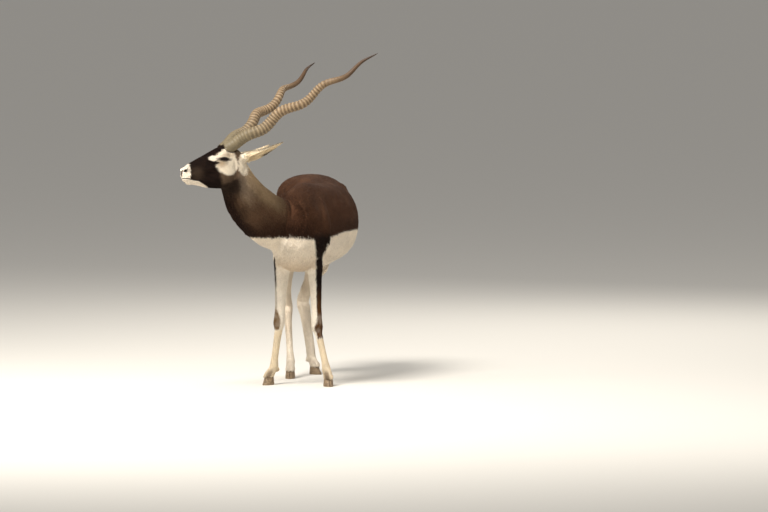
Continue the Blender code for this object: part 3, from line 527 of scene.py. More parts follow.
def pad_reach(side):
    """0 in the middle of the bare nose pad, 1 at its edge."""
    half = np.interp(side[:, 2], [-0.040, -0.030, -0.019, -0.008], [0.0018, 0.0026, 0.0080, 0.0098])
    gap = (np.abs(side[:, 1] / half) ** 3 + np.abs((side[:, 2] + 0.0225) / 0.0165) ** 3) ** (1 / 3)
    return np.where(side[:, 0] > 0.150, gap, 9.0)


def horn_gap(points):
    """How far each point lies outside the nearer horn's root, and which way that horn grows."""
    best, ways = np.full(len(points), 9.0), np.zeros((len(points), 3))
    for hand in (1, -1):
        start, end = horn_spot(-0.010, hand), horn_spot(0.04, hand)
        way = unit(end - start)
        along = (points - start) @ way
        off = np.linalg.norm(points - start - along[:, None] * way, axis=1) - HORN_ROOT_RADIUS
        gap = np.where(along < 0, np.hypot(np.maximum(off, 0), along), off)
        nearer = gap < best
        best = np.where(nearer, gap, best)
        ways[nearer] = way
    return best, ways


def head_marks(points, normals, colour):
    """Black mask, pale ring and spot at the eye, white muzzle and jaw, grey cheek, ears and their patch."""
    place = head_frame(points)
    side = mirrored(place)
    f, wide, u = side.T
    ragged = wander(points, 0.005, 3.0) * 0.0018 + wander(points, 0.0021, 4.0) * 0.0008
    f, u = f + ragged, u + ragged
    slant = f + 0.16 * u
    ring = ellipse(slant, u, (-0.004, -0.008), (0.041, 0.044)) * ease(wide, 0.022, 0.029)
    ring = np.maximum(ring, ellipse(slant, u, (-0.016, -0.028), (0.036, 0.034)))
    ring = ring * (1 - ellipse(f, u, (0.047, -0.0055), (0.022, 0.0065), 0.25))
    brow = ellipse(f + 1.9 * (u - 0.028), u, (0.004, 0.028), (0.016, 0.016), 0.25) * ease(wide, 0.016, 0.022)
    ring = np.maximum(ring, brow)
    # Painted shade about the eye, over the pale ring: behind and above it, and more in front of and below it.
    painted_shade = ellipse(f, u, (-0.014, 0.013), (0.026, 0.010), 0.7) * 0.5
    painted_shade = painted_shade + ellipse(f, u, (0.020, -0.010), (0.017, 0.015), 0.7) * 0.75
    spot = ellipse(f - 0.40 * (u - 0.014), u, (0.042, 0.0140), (0.0165, 0.0105), 0.16)
    jaw_line = np.interp(f, [0.065, 0.114, 0.157], [-0.100, -0.059, -0.043])
    above, open_here = mouth_gap(side)
    streak = ellipse(f, u - 0.0015 - 0.25 * (f - 0.0015), (0.004, 0.0), (0.027, 0.0068), 0.3)
    face = layered(
        "cheek",
        ("mask", ease(f, 0.022, 0.036)),
        ("mask", ease(u, 0.026, 0.036) * ease(f, -0.050, -0.030)),
        ("mask", (1 - ease(u + 0.25 * np.clip(f, -1, 0), -0.096, -0.080)) * 0.85),
        ("cheek", 0.35 * ellipse(f, u, (0.118, -0.030), (0.024, 0.022), 0.8)),
        ("grey", (1 - ease(f, -0.058, -0.030)) * (1 - ease(u, 0.02, 0.035)) * 0.8),
        ("ring", ring),
        ("painted_shade", np.clip(painted_shade, 0, 1) * ring),
        ("white", spot * ease(wide, 0.012, 0.018)),
        ("white", ease(jaw_line - u, -0.0015, 0.0015) * ease(f, 0.060, 0.078)),
        ("white", ease(f + 0.25 * (u + 0.01), 0.137, 0.143)),
        ("lip", open_here * (1 - ease(np.abs(above), 0.9 * MM, 2.2 * MM))),
        ("pad", 1 - ease(pad_reach(side), 0.95, 1.15)),
        ("lip", 1 - ease(nostril_reach(side), 0.95, 1.30)),
        ("mask", (1 - ease(gland_gap(side), 1.0 * MM, 3.2 * MM)) * (wide > 0.015) * 0.8),
        ("lid", streak * 0.80),
        ("lid", 1 - ease(lid_gap(side), 1.6 * MM, 3.6 * MM)),
        ("neck", ellipse(slant, u, (-0.049, -0.022), (0.0075, 0.040), 0.35) * (1 - ring) * 0.85),
    )
    patch = ellipse(f + 0.19 * u, u, (-0.0765, -0.028), (0.0225, 0.041), 0.16) * ease(wide, 0.010, 0.020)
    share, off, over = ear_place(points)
    ear = ease(share, 0.02, 0.10) * (1 - ease(off, 0.048, 0.056)) * (share < 1.1)
    # Painted shade inside the ear's hollow: along its lower edge, and below the axis near its root.
    dark = ease(share, 0.40, 0.52) * (1 - ease(share, 0.74, 0.84)) * ease(-over, -0.002, 0.006)
    dark = np.maximum(dark, 0.5 * (1 - ease(share, 0.16, 0.24)) * ease(-over, 0.010, 0.020))
    ear_tone = layered(
        "ear",
        ("nape", ease(share, 0.45, 1.0) * 0.45),
        (mix("hollow", "rim", dark * 0.9), ear_inside(points, normals)),
        ("rim", ease(share, 0.90, 1.0) * 0.45),
    )
    collar = (1 - ease(horn_gap(points)[0], 0.0035, 0.0060)) * (place[:, 2] > 0.01)
    return layered(
        colour,
        (face, ease(f, -0.080, -0.055) * ease(u, -0.16, -0.12)),
        ("ring", patch),
        (ear_tone, ear),
        ("mask", collar * 0.9 * (1 - ear)),
    )


def leg_bearing(points, name):
    """How far a point faces outwards and forwards from its leg's bone, each from -1 to 1."""
    joints = np.array(LEG_JOINTS[name])
    heights = joints[::-1, 2]
    centre = np.stack([np.interp(points[:, 2], heights, joints[::-1, k]) for k in (0, 1)], 1)
    away = points[:, :2] - centre
    away /= np.linalg.norm(away, axis=1)[:, None] + 1e-6
    hand = 1 if name.endswith("left") else -1
    return away[:, 0] * hand, -away[:, 1]


def foreleg_marks(colour, points, gap, ragged, name):
    """The dark stripe down the outside, the knee patch, the pale cannon and the dark front of the foot."""
    x, y, z = points.T
    hand = 1 if name.endswith("left") else -1
    outer, ahead = leg_bearing(points, name)
    reach = gap < 0.085
    bearing = np.arctan2(outer, ahead)
    first, patch_foot = (0.20, 0.186) if hand > 0 else (0.42, 0.216)
    stripe = ease(bearing + ragged * 6, first, first + 0.16) * (1 - ease(bearing, 2.0, 2.3))
    stripe = stripe * (1 - ease(z, 0.57, 0.61)) * ease(z, patch_foot + 0.06, patch_foot + 0.10)
    stripe = stripe * ((x * hand) > 0.0) * reach
    sideways = x * hand * 0.985 + y * 0.174 - (0.0 if hand > 0 else 0.009)
    edge = np.interp(z, [0.45, 0.472, 0.492, 0.552, 0.575], [0.120, 0.090, 0.086, 0.112, 0.132])
    stripe = stripe * (1 - ease(sideways + ragged, edge - 0.002, edge + 0.003)) * (1 - ease(y, 0.048, 0.060))
    patch_up = z - patch_foot
    lean = outer + 0.35 * ahead + ragged * 24 - 0.9 * (patch_up - 0.042) / 0.05 * (patch_up > 0.042)
    mottle = np.clip(0.92 + 0.16 * wander(points, 0.010, 8.0), 0, 1)
    knee = ease(patch_up + ragged, -0.004, 0.004) * (1 - ease(patch_up, 0.060, 0.105))
    knee = knee * ease(lean, -0.15, 0.25) * reach
    knee_side = ease(outer - 0.5 * ahead, 0.45, 0.85) * (1 - ease(patch_up, 0.03, 0.05))
    foot = (1 - ease(z, 0.045, 0.075)) * ease(ahead, 0.2, 0.7) * (1 - ease(np.abs(outer), 0.2, 0.6))
    strength = 1 if hand > 0 else 0.40 + 0.60 * ease(z, 0.36, 0.44)
    return layered(
        colour,
        ("sunlit", 0.60 * (1 - ease(gap, 0.045, 0.060)) * (1 - ease(z, 0.43, 0.50))),
        (mix("knee", "mask", ease(z, 0.28, 0.40)), stripe * strength),
        ("knee" if hand > 0 else "far_knee", knee * mottle),
        ("mask", knee * 0.6 * knee_side),
        (mix("cream", "tan", ease(-ahead + 0.4 * outer, -0.4, 0.8) * 0.75),
         (1 - ease(patch_up + ragged, -0.007, 0.001)) * reach),
        ("knee", foot * reach * 0.7),
    )


def hindleg_marks(colour, points, gap, name):
    """The brown of the thigh's outside, the white shank, painted shade over its upper part under the belly, and
    the strip behind it.
    """
    x, y, z = points.T
    hand = 1 if name.endswith("left") else -1
    outer, ahead = leg_bearing(points, name)
    thigh = ease((x + 0.035) * hand, 0.030, 0.060) * ease(y, 0.37, 0.47) * (1 - ease(z, 0.60, 0.70))
    thigh = thigh * ease(z, 0.33, 0.43) * (gap < 0.14) * (y > 0.27)
    # Painted shade on the leg's upper part, where the belly's shadow falls.
    shaded = 0.40 * ease(z, 0.25, 0.37) if hand > 0 else 0.30 * ease(z, 0.10, 0.20)
    low = (1 - ease(z, 0.36, 0.44)) * (gap < 0.05)
    strip = ease(outer, 0.55, 0.85) * ease(-ahead, -0.2, 0.4) * ease(z, 0.10, 0.20)
    return layered(
        colour,
        ("thigh", thigh),
        ("white", low),
        ("painted_shade", shaded * (1 - ease(z, 0.40, 0.48)) * (gap < 0.08)),
        ("shank", strip * low * 0.8),
    )


def coat_colour(points, normals):
    """The markings, with painted highlights and shade laid in, as functions of a place on the animal and the
    way it faces there.
    """
    x, y, z = points.T
    legs = limbs(points)
    # Lighter along the shoulder's ridge and the back: lighter patches at random, and a painted highlight on
    # upward-facing hair, high on the back and over the shoulder; darker low on the flank.
    patches_and_top_light = ease(wander(points, 0.035, 1.0) + 0.9 * normals[:, 2], 0.55, 1.3)
    shoulder = bell(y + 0.01, 0.06) * bell(z - 0.665, 0.05)
    ridge = np.clip(0.35 * patches_and_top_light + 0.08 * ease(z, 0.66, 0.80) + 0.40 * shoulder, 0, 1)
    # Neck: black down the throat, grey-brown on the side, paler and tan towards the nape; the tan on the
    # upward-facing nape is partly a painted highlight.
    gap, along = polyline_distance(points, NECK_LINE)
    near_neck = 1 - ease(gap, 0.115, 0.175)
    crest = normals @ unit([0.62, 0.25, 0.74])
    streak = wander(points * np.array([1, 1, 0.4]), 0.010, 5.0)
    side_tone = mix("neck", "upper_neck", ease(along + 0.05 * streak, 0.52, 0.92) * ease(crest, -0.50, 0.20))
    neck_tone = layered(
        "body",
        (side_tone, ease(along + 0.06 * streak, 0.16, 0.62)),
        ("deep", (1 - ease(crest + 0.08 * streak, -0.86, -0.28)) * ease(along, 0.10, 0.42)),
        ("nape", ease(crest + 0.06 * streak, 0.10, 0.75) * ease(along, 0.10, 0.62) * 0.72),
    )
    front = ease(-y, 0.03, 0.14) * (1 - ease(z, 0.60, 0.68)) * (1 - ease(along, 0.3, 0.5) * near_neck)
    # The white of the chest, belly and flank, below a ragged line, with painted shade under the brisket.
    ragged = wander(points, 0.012, 2.0) * 0.005 + wander(points, 0.004, 7.0) * 0.003
    line = 0.572 + ragged + 0.010 * ease(-y, 0.10, 0.16)
    line = line + 0.012 * ease(y, 0.05, 0.14) - 0.05 * ease(y, 0.36, 0.50)
    clear = np.minimum(legs["foreleg_left"], legs["foreleg_right"])
    shadow = 0.70 * (1 - ease(z, 0.43, 0.53)) * ease(z, 0.40, 0.42)
    shadow = shadow * ease(-y, -0.10, 0.0) * ease(clear, 0.036, 0.060)
    colour = layered(
        "body",
        ("ridge", ridge),
        ("deep", 0.60 * (1 - ease(z, 0.580, 0.650))),
        (neck_tone, ease(along, 0.06, 0.30) * near_neck),
        ("deep", 0.75 * front),
        (mix("white", "brisket_shade", shadow), 1 - ease(z, line - 0.003, line + 0.003)),
    )
    for name in ("foreleg_left", "foreleg_right"):
        colour = foreleg_marks(colour, points, legs[name], ragged, name)
    for name in ("hindleg_left", "hindleg_right"):
        colour = hindleg_marks(colour, points, legs[name], name)
    # Rump: white patches each side of the tail, rufous above them.
    behind = normals @ np.array([-0.30, 0.95, 0.0])
    middle = x + 0.075 + (y - 0.62) * 0.38
    between = (y > 0.42) * (z < 0.60) * ease(z, 0.34, 0.42)
    rufous = ease(z, 0.690, 0.710) * (1 - ease(z, 0.735, 0.765)) * ease(y, 0.55, 0.60)
    rump = ease(behind, 0.25, 0.50) * ease(z, 0.48, 0.52) * (1 - ease(z, 0.700, 0.716)) * (y > 0.54)
    tail_tone = mix("cream", "tan", ease(behind, 0.3, 0.9) * ease(z, 0.60, 0.68) * 0.8)
    colour = layered(
        colour,
        ("white", between * (1 - ease(np.abs(middle + ragged), 0.052, 0.062))),
        ("rufous", 0.75 * rufous * (1 - ease(np.abs(middle), 0.06, 0.10))),
        ("white", rump * (1 - ease(np.abs(middle), 0.072, 0.082))),
        (tail_tone, 1.0 * on_tail(points)),
    )
    return np.clip(head_marks(points, normals, colour), 0, 1)


def hair_way(points, normals):
    """Which way the hair lies: back along head and neck, back and down the body, down the legs and tail."""
    y, z = points.T[1:]
    gap, along = polyline_distance(points, NECK_LINE)
    down_neck = unit(np.array(NECK_LINE[0]) - np.array(NECK_LINE[-1])) + np.array([0.10, 0.25, -0.30])
    place = head_frame(points)
    back = -HEAD_FORWARD - 0.25 * HEAD_UP * ease(-place[:, 2], 0.0, 0.06)[:, None]
    share, off, _ = ear_place(points)
    tips = unit(EAR_TIP - EAR_BASE)
    ear_way = HEAD_FORWARD * tips[0] + HEAD_LEFT * tips[1] * np.sign(place[:, 1])[:, None] + HEAD_UP * tips[2]
    root_gap, root_way = horn_gap(points)
    below = 1 - ease(z, 0.40, 0.50)
    way = layered(
        (0.03, 1.0, -0.45),
        ((0.0, 0.35, -1.0), ease(-y, -0.06, 0.04) * (1 - ease(z, 0.60, 0.70))),
        ((0.0, 1.0, 0.0), ease(-normals[:, 2], 0.45, 0.75) * ease(z, 0.40, 0.44)),
        ((-0.10, 0.45, -1.0), ease(y, 0.42, 0.56) * (1 - ease(z, 0.66, 0.76))),
        (down_neck, ease(along, 0.05, 0.55) * (gap < 0.15)),
        (back, ease(place[:, 0], -0.075, -0.035) * ease(place[:, 2], -0.15, -0.11)),
        *(((0.0, 0.10, -1.0), (1 - ease(near, 0.05, 0.08)) * below) for near in limbs(points).values()),
        ((-0.02, 0.10, -1.0), 1.0 * on_tail(points)),
        (ear_way, ease(share, 0.12, 0.20) * (1 - ease(off, 0.048, 0.056))),
        (root_way, (1 - ease(root_gap, 0.003, 0.011)) * (place[:, 2] > 0.01)),
    )
    way = way - normals * np.sum(way * normals, 1)[:, None]
    return way / (np.linalg.norm(way, axis=1)[:, None] + 1e-9)


def hair_sizes(points, normals):
    """Tuft length, width, spacing and how far its tip stands off, in metres, at each place."""
    y, z = points.T[1:]
    place = head_frame(points)
    side = mirrored(place)
    gap, along = polyline_distance(points, NECK_LINE)
    head = ease(place[:, 0], -0.085, -0.045) * ease(place[:, 2], -0.16, -0.12)
    above, open_here = mouth_gap(side)
    lips = head * open_here * (1 - ease(np.abs(above), 3 * MM, 7 * MM))
    lips = np.maximum(lips, head * (1 - ease(pad_reach(side), 1.2, 1.8)))
    share, off, _ = ear_place(points)
    poll = ellipse(place[:, 0], place[:, 1], (-0.030, 0.0), (0.022, 0.030), 0.5) * (place[:, 2] > 0.02)
    # Each row: length, width, spacing and stand in millimetres, and where.
    return MM * layered(
        (16.0, 1.6, 2.7, 1.1),
        ((15.0, 1.6, 2.6, 1.4), ease(along, 0.1, 0.4) * (gap < 0.15)),
        ((19.0, 1.7, 2.7, 2.6), ease(-normals[:, 2], 0.2, 0.7) * ease(z, 0.42, 0.46) * (z < 0.60)),
        ((9.0, 1.3, 2.1, 0.6), 1 - ease(z, 0.34, 0.46)),
        ((6.5, 1.1, 1.75, 0.35), 1 - ease(z, 0.20, 0.30)),
        ((7.5, 1.2, 1.75, 1.0), 1 - ease(z, 0.055, 0.085)),
        ((10.0, 1.3, 2.3, 0.9), bell(z - 0.575, 0.018) * (y < 0.45)),
        ((6.5, 1.05, 1.65, 0.55), head),
        ((3.8, 0.8, 1.35, 0.35), head * ease(place[:, 0], 0.03, 0.10)),
        ((3.2, 0.8, 1.25, 0.4), 1 - ease(lid_gap(side), 4 * MM, 14 * MM)),
        ((2.0, 0.6, 1.05, 0.15), lips),
        ((6.5, 1.1, 1.9, 0.8), ease(share, 0.06, 0.16) * (1 - ease(off, 0.048, 0.056))),
        ((25.0, 2.0, 2.4, 2.6), 1.0 * on_tail(points)),
        ((10.0, 1.3, 1.7, 2.6), poll),
        ((6.5, 1.1, 1.4, 1.1), (1 - ease(horn_gap(points)[0], 0.002, 0.008)) * (place[:, 2] > 0.01)),
    )


def bare(points):
    """Where no hair grows: sockets, lid edges, nostrils, lips, nose pad, and the stumps in the hooves."""
    side = mirrored(head_frame(points))
    none = np.linalg.norm(side - EYE_CENTRE, axis=1) < EYE_RADIUS + 0.8 * MM
    none |= lid_gap(side) < 1.6 * MM
    none |= nostril_reach(side) < 1.15
    above, open_here = mouth_gap(side)
    none |= (np.abs(above) < 1.3 * MM) & (open_here > 0.5)
    none |= pad_reach(side) < 0.9
    none |= horn_gap(points)[0] < 0.3 * MM
    none |= points[:, 2] < 0.0325
    return none


def part_of(points):
    """0 head and ears, 1 neck, 2 trunk, 3 legs, 4 tail."""
    place = head_frame(points)
    gap, along = polyline_distance(points, NECK_LINE)
    part = np.where(points[:, 2] < 0.45, 3, 2)
    part = np.where((along > 0.05) & (gap < 0.15) & (points[:, 2] > 0.5), 1, part)
    share, off, _ = ear_place(points)
    head = ((place[:, 0] > -0.075) & (place[:, 2] > -0.14)) | ((share > 0.05) & (off < 0.056))
    part = np.where(head, 0, part)
    return np.where(on_tail(points), 4, part)


def flat_pattern(skin):
    """A plain copy of the skin laid flat: its triangles, their corners and their places on the pattern."""
    plain = linked("pattern", skin.data.copy())
    ratio = PATTERN_FACES / len(skin.data.polygons)
    apply_step(plain, "DECIMATE", ratio=ratio, use_collapse_triangulate=True)
    edit_whole(plain, bpy.ops.uv.smart_project, angle_limit=math.radians(66), island_margin=0.002)
    mesh = plain.data
    places = places_of(mesh)
    mesh.calc_loop_triangles()
    corners = np.array([triangle.vertices[:] for triangle in mesh.loop_triangles])
    loops = np.array([triangle.loops[:] for triangle in mesh.loop_triangles])
    flat = np.empty(len(mesh.loops) * 2)
    mesh.uv_layers.active.data.foreach_get("uv", flat)
    flat = flat.reshape(-1, 2)
    tree = BVHTree.FromPolygons([Vector(p) for p in places], [tuple(int(i) for i in row) for row in corners])
    bpy.data.objects.remove(plain, do_unlink=True)
    return tree, places[corners], flat[loops]


def pattern_places(pattern, points):
    """Where each point falls on the flat pattern."""
    tree, corners, flat = pattern
    found = np.array([tree.find_nearest(Vector(point))[2] for point in points])
    a, b, c = corners[found, 0], corners[found, 1], corners[found, 2]
    v0, v1, v2 = b - a, c - a, points - a
    d00, d01, d11 = np.sum(v0 * v0, 1), np.sum(v0 * v1, 1), np.sum(v1 * v1, 1)
    d20, d21 = np.sum(v2 * v0, 1), np.sum(v2 * v1, 1)
    under = d00 * d11 - d01 * d01 + 1e-20
    v = np.clip((d11 * d20 - d01 * d21) / under, 0, 1)
    w = np.clip((d00 * d21 - d01 * d20) / under, 0, 1)
    total = np.maximum(v + w, 1)
    v, w = v / total, w / total
    places = flat[found]
    return places[:, 0] * (1 - v - w)[:, None] + places[:, 1] * v[:, None] + places[:, 2] * w[:, None]


TUFT_FACES = np.array([(0, 3, 1), (0, 2, 3), (0, 1, 2), (4, 1, 3), (4, 3, 2), (4, 2, 1)])
TUFT_PATCH = np.array([(-1.5, 0.0), (0.0, 1.5), (0.0, -1.5), (0.0, 0.0), (1.5, 0.0)]) * 0.001


def tuft_mesh(name, points, tones, patches):
    """One mesh from tufts of five points each: points (n, 5, 3), tones (n, 5, 3), pattern places (n, 2)."""
    count = len(points)
    mesh = bpy.data.meshes.new(name)
    corners = (TUFT_FACES[None] + 5 * np.arange(count)[:, None, None]).reshape(-1)
    mesh.vertices.add(5 * count)
    mesh.vertices.foreach_set("co", points.astype(np.float32).ravel())
    mesh.loops.add(len(corners))
    mesh.loops.foreach_set("vertex_index", corners.astype(np.int32))
    mesh.polygons.add(6 * count)
    mesh.polygons.foreach_set("loop_start", np.arange(0, 18 * count, 3, dtype=np.int32))
    mesh.update(calc_edges=True)
    paint(mesh, "hair_tone", tones.reshape(-1, 3))
    flat = mesh.uv_layers.new(name="OFBake")
    places = (patches[:, None] + TUFT_PATCH[TUFT_FACES.reshape(-1)][None]).reshape(-1, 2)
    flat.data.foreach_set("uv", np.clip(places, 0.001, 0.999).astype(np.float32).ravel())
    mesh.polygons.foreach_set("use_smooth", np.ones(len(mesh.polygons), bool))
    return linked(name, mesh)


def grow_coat(skin, finish):
    """Short tufts over all the skin, thin and overlapping along the lie of the hair, in pieces by part."""
    draw = np.random.default_rng(11)
    mesh = skin.data
    mesh.calc_loop_triangles()
    corners = np.empty(len(mesh.loop_triangles) * 3, np.int32)
    mesh.loop_triangles.foreach_get("vertices", corners)
    corners = corners.reshape(-1, 3)
    places, facing = places_of(mesh) - SHIFT, normals_of(mesh)
    a, b, c = places[corners[:, 0]], places[corners[:, 1]], places[corners[:, 2]]
    area = np.linalg.norm(np.cross(b - a, c - a), axis=1) / 2
    middle = (a + b + c) / 3
    middle_facing = facing[corners].mean(1)
    spacing = hair_sizes(middle, middle_facing)[:, 2]
    wanted = area / spacing**2 * ~bare(middle)
    total = np.cumsum(wanted)
    count = int(total[-1])
    chosen = np.searchsorted(total, draw.random(count) * total[-1])
    first, second = draw.random(count), draw.random(count)
    flip = first + second > 1
    first, second = np.where(flip, 1 - first, first), np.where(flip, 1 - second, second)
    shares = np.stack([1 - first - second, first, second], 1)[:, :, None]
    roots = (places[corners[chosen]] * shares).sum(1)
    normals = (facing[corners[chosen]] * shares).sum(1)
    normals /= np.linalg.norm(normals, axis=1)[:, None] + 1e-9
    keep = ~bare(roots)
    roots, normals = roots[keep], normals[keep]
    count = len(roots)
    way = hair_way(roots, normals)
    across = np.cross(normals, way)
    turn = 0.16 * wander(roots, 0.022, 9.0) + draw.normal(0, 0.09, count)
    way = way * np.cos(turn)[:, None] + across * np.sin(turn)[:, None]
    across = np.cross(normals, way)
    length, width, _, stand = hair_sizes(roots, normals).T
    grow = draw.uniform(0.75, 1.25, count)
    length, width = length * grow, width * draw.uniform(0.8, 1.2, count)
    stand = stand * draw.gamma(6.0, 1 / 6.0, count)
    tone_at = roots - way * (length * draw.uniform(-0.2, 0.5, count))[:, None]
    tone_at = tone_at + draw.normal(0, 0.6 * MM, (count, 3))
    tone = coat_colour(tone_at, normals)
    brown = 1 - ease(tone.max(1), 0.10, 0.30)
    uneven = 0.045 + 0.075 * brown
    light = 1 + draw.normal(0, 1, count) * uneven
    light += (0.03 + 1.1 * uneven) * wander(roots * np.array([1, 0.55, 1]), 0.024, 6.0)
    tone = tone * light[:, None]
    tone = mix(tone, "ridge", brown * (draw.random(count) < 0.10) * 0.25)
    sunk = -0.35 * MM - 0.05 * length
    middle_lift = 0.62 * stand + 0.35 * MM
    bend = across * (length * draw.normal(0, 0.05, count))[:, None]
    base = roots + normals * sunk[:, None]
    waist = roots + way * (0.42 * length)[:, None] + normals * (middle_lift - 0.16 * width)[:, None]
    left = waist + across * (0.5 * width)[:, None]
    right = waist - across * (0.5 * width)[:, None]
    ridge = waist + normals * (0.30 * width)[:, None]
    tip = roots + way * length[:, None] + normals * stand[:, None] + bend
    points = np.stack([base, left, right, ridge, tip], 1) + SHIFT
    # Each tuft painted in shade and light: darker at the root and on its two sides, paler at the tip.
    shades = mix((0.95, 0.99, 0.99, 1.0, 1.03), (0.80, 0.94, 0.94, 1.0, 1.08), brown)
    tones = np.clip(tone[:, None] * shades[:, :, None], 0, 1)
    lashes = lash_tufts()
    roots = np.concatenate([roots, lashes[:, 0]])
    points = np.concatenate([points, lashes + SHIFT])
    tones = np.concatenate([tones, np.tile(COAT["lid"], (len(lashes), 5, 1))])
    patches = pattern_places(flat_pattern(skin), roots + SHIFT)
    part = part_of(roots)
    for number, name in enumerate(("head", "neck", "trunk", "legs", "tail")):
        rows = np.nonzero(part == number)[0]
        rows = rows[np.argsort(roots[rows, 1], kind="stable")]
        pieces = max(1, math.ceil(len(rows) / TUFTS_A_PIECE))
        for k, some in enumerate(np.array_split(rows, pieces)):
            item = tuft_mesh(f"coat_{name}_{k + 1}", points[some], tones[some], patches[some])
            item.data.materials.append(finish)
            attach(item, "root")


class Finish:
    """A material being wired: node() adds one node with its settings and links."""

    def __init__(self, name, **sockets):
        self.material = bpy.data.materials.new(name)
        self.material.use_nodes = True
        self.tree = self.material.node_tree
        self.shader = self.tree.nodes["Principled BSDF"]
        for socket, value in sockets.items():
            self.shader.inputs[socket.replace("_", " ").title().replace("Ior", "IOR")].default_value = value

    def node(self, kind, inputs=None, **settings):
        made = self.tree.nodes.new("ShaderNode" + kind)
        for name, value in settings.items():
            setattr(made, name, value)
        for name, value in (inputs or {}).items():
            socket = made.inputs[name]
            if isinstance(value, bpy.types.NodeSocket):
                self.tree.links.new(value, socket)
            else:
                socket.default_value = value
        return made

    def link(self, output, socket):
        self.tree.links.new(output, self.shader.inputs[socket])

    def place(self, stretch=None):
        """Where on the object, or that squeezed along some axes."""
        found = self.node("TexCoord").outputs["Object"]
        if stretch:
            found = self.node("Mapping", {"Vector": found, "Scale": stretch}).outputs["Vector"]
        return found

    def noise(self, place, lump, detail, **inputs):
        """Noise with lumps of this many millimetres."""
        inputs = {"Vector": place, "Scale": 1 / (lump * MM), "Detail": detail, **inputs}
        return self.node("TexNoise", inputs).outputs["Fac"]

    def swing(self, noise, amount):
        """The middle of a noise's range, as a factor about 1."""
        return self.node("MapRange", {"Value": noise, "From Min": 0.3, "From Max": 0.7, "To Min": 1 - amount,
                                      "To Max": 1 + amount}).outputs["Result"]

    def tint(self, colour, light):
        """A base colour, lighter and darker by light."""
        tint = self.node("VectorMath", {0: colour, "Scale": light}, operation="SCALE")
        self.link(tint.outputs["Vector"], "Base Color")

    def painted(self, attribute, *lights):
        """A colour painted on the vertices, varied by each light."""
        light = lights[0]
        for other in lights[1:]:
            light = self.node("Math", {0: light, 1: other}, operation="MULTIPLY").outputs["Value"]
        self.tint(self.node("Attribute", attribute_name=attribute).outputs["Color"], light)

    def relief(self, height, depth, strength):
        """A bump this many millimetres deep."""
        bump = self.node("Bump", {"Height": height, "Distance": depth * MM, "Strength": strength})
        self.link(bump.outputs["Normal"], "Normal")

    def ramp(self, value, *stops):
        """A colour from a value, by stops of a place and an sRGB code."""
        made = self.node("ValToRGB", {"Fac": value})
        for element, (stop, code) in zip(made.color_ramp.elements, stops):
            element.position = stop
            element.color = (*linear(code), 1)
        return made.outputs["Color"]


def hair_finish():
    """Hair tufts: a soft matt whose colour follows the markings with their painted highlights and shade,
    painted darker at the root and paler at the tip.
    """
    made = Finish("hair_tufts", roughness=0.80, specular_ior_level=0.10)
    made.painted("hair_tone", made.swing(made.noise(made.place(), 1.6, 2.0), 0.10))
    return made.material


def bare_skin(points):
    """1 on the moist skin of the nose pad, the nostrils and the lips, 0 where hair grows."""
    side = mirrored(head_frame(points))
    above, open_here = mouth_gap(side)
    wet = 1 - ease(pad_reach(side), 0.95, 1.15)
    wet = np.maximum(wet, 1 - ease(nostril_reach(side), 0.95, 1.30))
    wet = np.maximum(wet, open_here * (1 - ease(np.abs(above), 0.9 * MM, 2.2 * MM)))
    return wet * ease(side[:, 0], 0.06, 0.08)


def coat_finish():
    """Short guard hair close to the skin: matt, colour from the markings with their painted highlights and
    shade, and streaks that follow the hair.
    """
    made = Finish("skin_coat")
    streak = made.noise(made.place((1.0, 1.0, 0.28)), 3.0, 3.0, Roughness=0.6)
    made.painted("marks_and_painted_light", made.swing(streak, 0.16), made.swing(made.noise(made.place(), 45, 2.0), 0.12))
    made.relief(streak, 0.8, 0.6)
    # The bare skin of the nose pad and lips is moist, so it is smoother and shines more than hair.
    wet = made.node("Attribute", attribute_name="bare_skin").outputs["Fac"]
    for socket, dry, moist in (("Roughness", 0.85, 0.34), ("Specular IOR Level", 0.10, 0.50)):
        range_of_wet = made.node("MapRange", {"Value": wet, "To Min": dry, "To Max": moist})
        made.link(range_of_wet.outputs["Result"], socket)
    return made.material


def almond(grow=1.0, count=40):
    """The lids' opening as a ring of points about the eye, on the left side of the head."""
    along = np.array([math.cos(EYE_SLOPE), 0, math.sin(EYE_SLOPE)])
    along = unit(along - EYE_OUT * (along @ EYE_OUT))
    upward = np.cross(EYE_OUT, along)
    upward = upward * np.sign(upward[2])
    ring = []
    for i in range(count):
        c, s = math.cos(2 * math.pi * i / count), math.sin(2 * math.pi * i / count)
        high = LID_ABOVE if s > 0 else LID_BELOW
        ring.append(grow * (along * c * LID_HALF + upward * s * abs(s) ** 0.25 * high))
    return ring


def on_lid(spot, radius):
    """A flat almond point lifted along the eye's way out to a ball of that radius."""
    return spot + EYE_OUT * math.sqrt(max(radius**2 - spot @ spot, 1e-8))


def mesh_piece(name, points, faces):
    mesh = bpy.data.meshes.new(name)
    mesh.from_pydata([tuple(p) for p in points], [], faces)
    mesh.validate()
    made = linked(name, mesh)
    edit_whole(made, bpy.ops.mesh.normals_make_consistent, inside=False)
    return made


def open_lids(skin):
    """Cuts the almond between the lids and the socket behind it."""
    for hand in (1, -1):
        rings = []
        for depth, grow in ((6.5 * MM, 1.0), (32 * MM, 1.25)):
            middle = EYE_CENTRE + EYE_OUT * depth
            rings.append([placed(head_point(middle + spot, hand)) for spot in almond(grow)])
        count = len(rings[0])
        faces = [(i, (i + 1) % count, count + (i + 1) % count, count + i) for i in range(count)]
        faces += [tuple(range(count - 1, -1, -1)), tuple(range(count, 2 * count))]
        cutter = mesh_piece("opening", rings[0] + rings[1], faces)
        socket = add_ball("socket", placed(head_point(EYE_CENTRE, hand)), EYE_RADIUS + 0.25 * MM, 64)
        for tool in (cutter, socket):
            apply_step(skin, "BOOLEAN", operation="DIFFERENCE", object=tool, solver="MANIFOLD")
            bpy.data.objects.remove(tool, do_unlink=True)


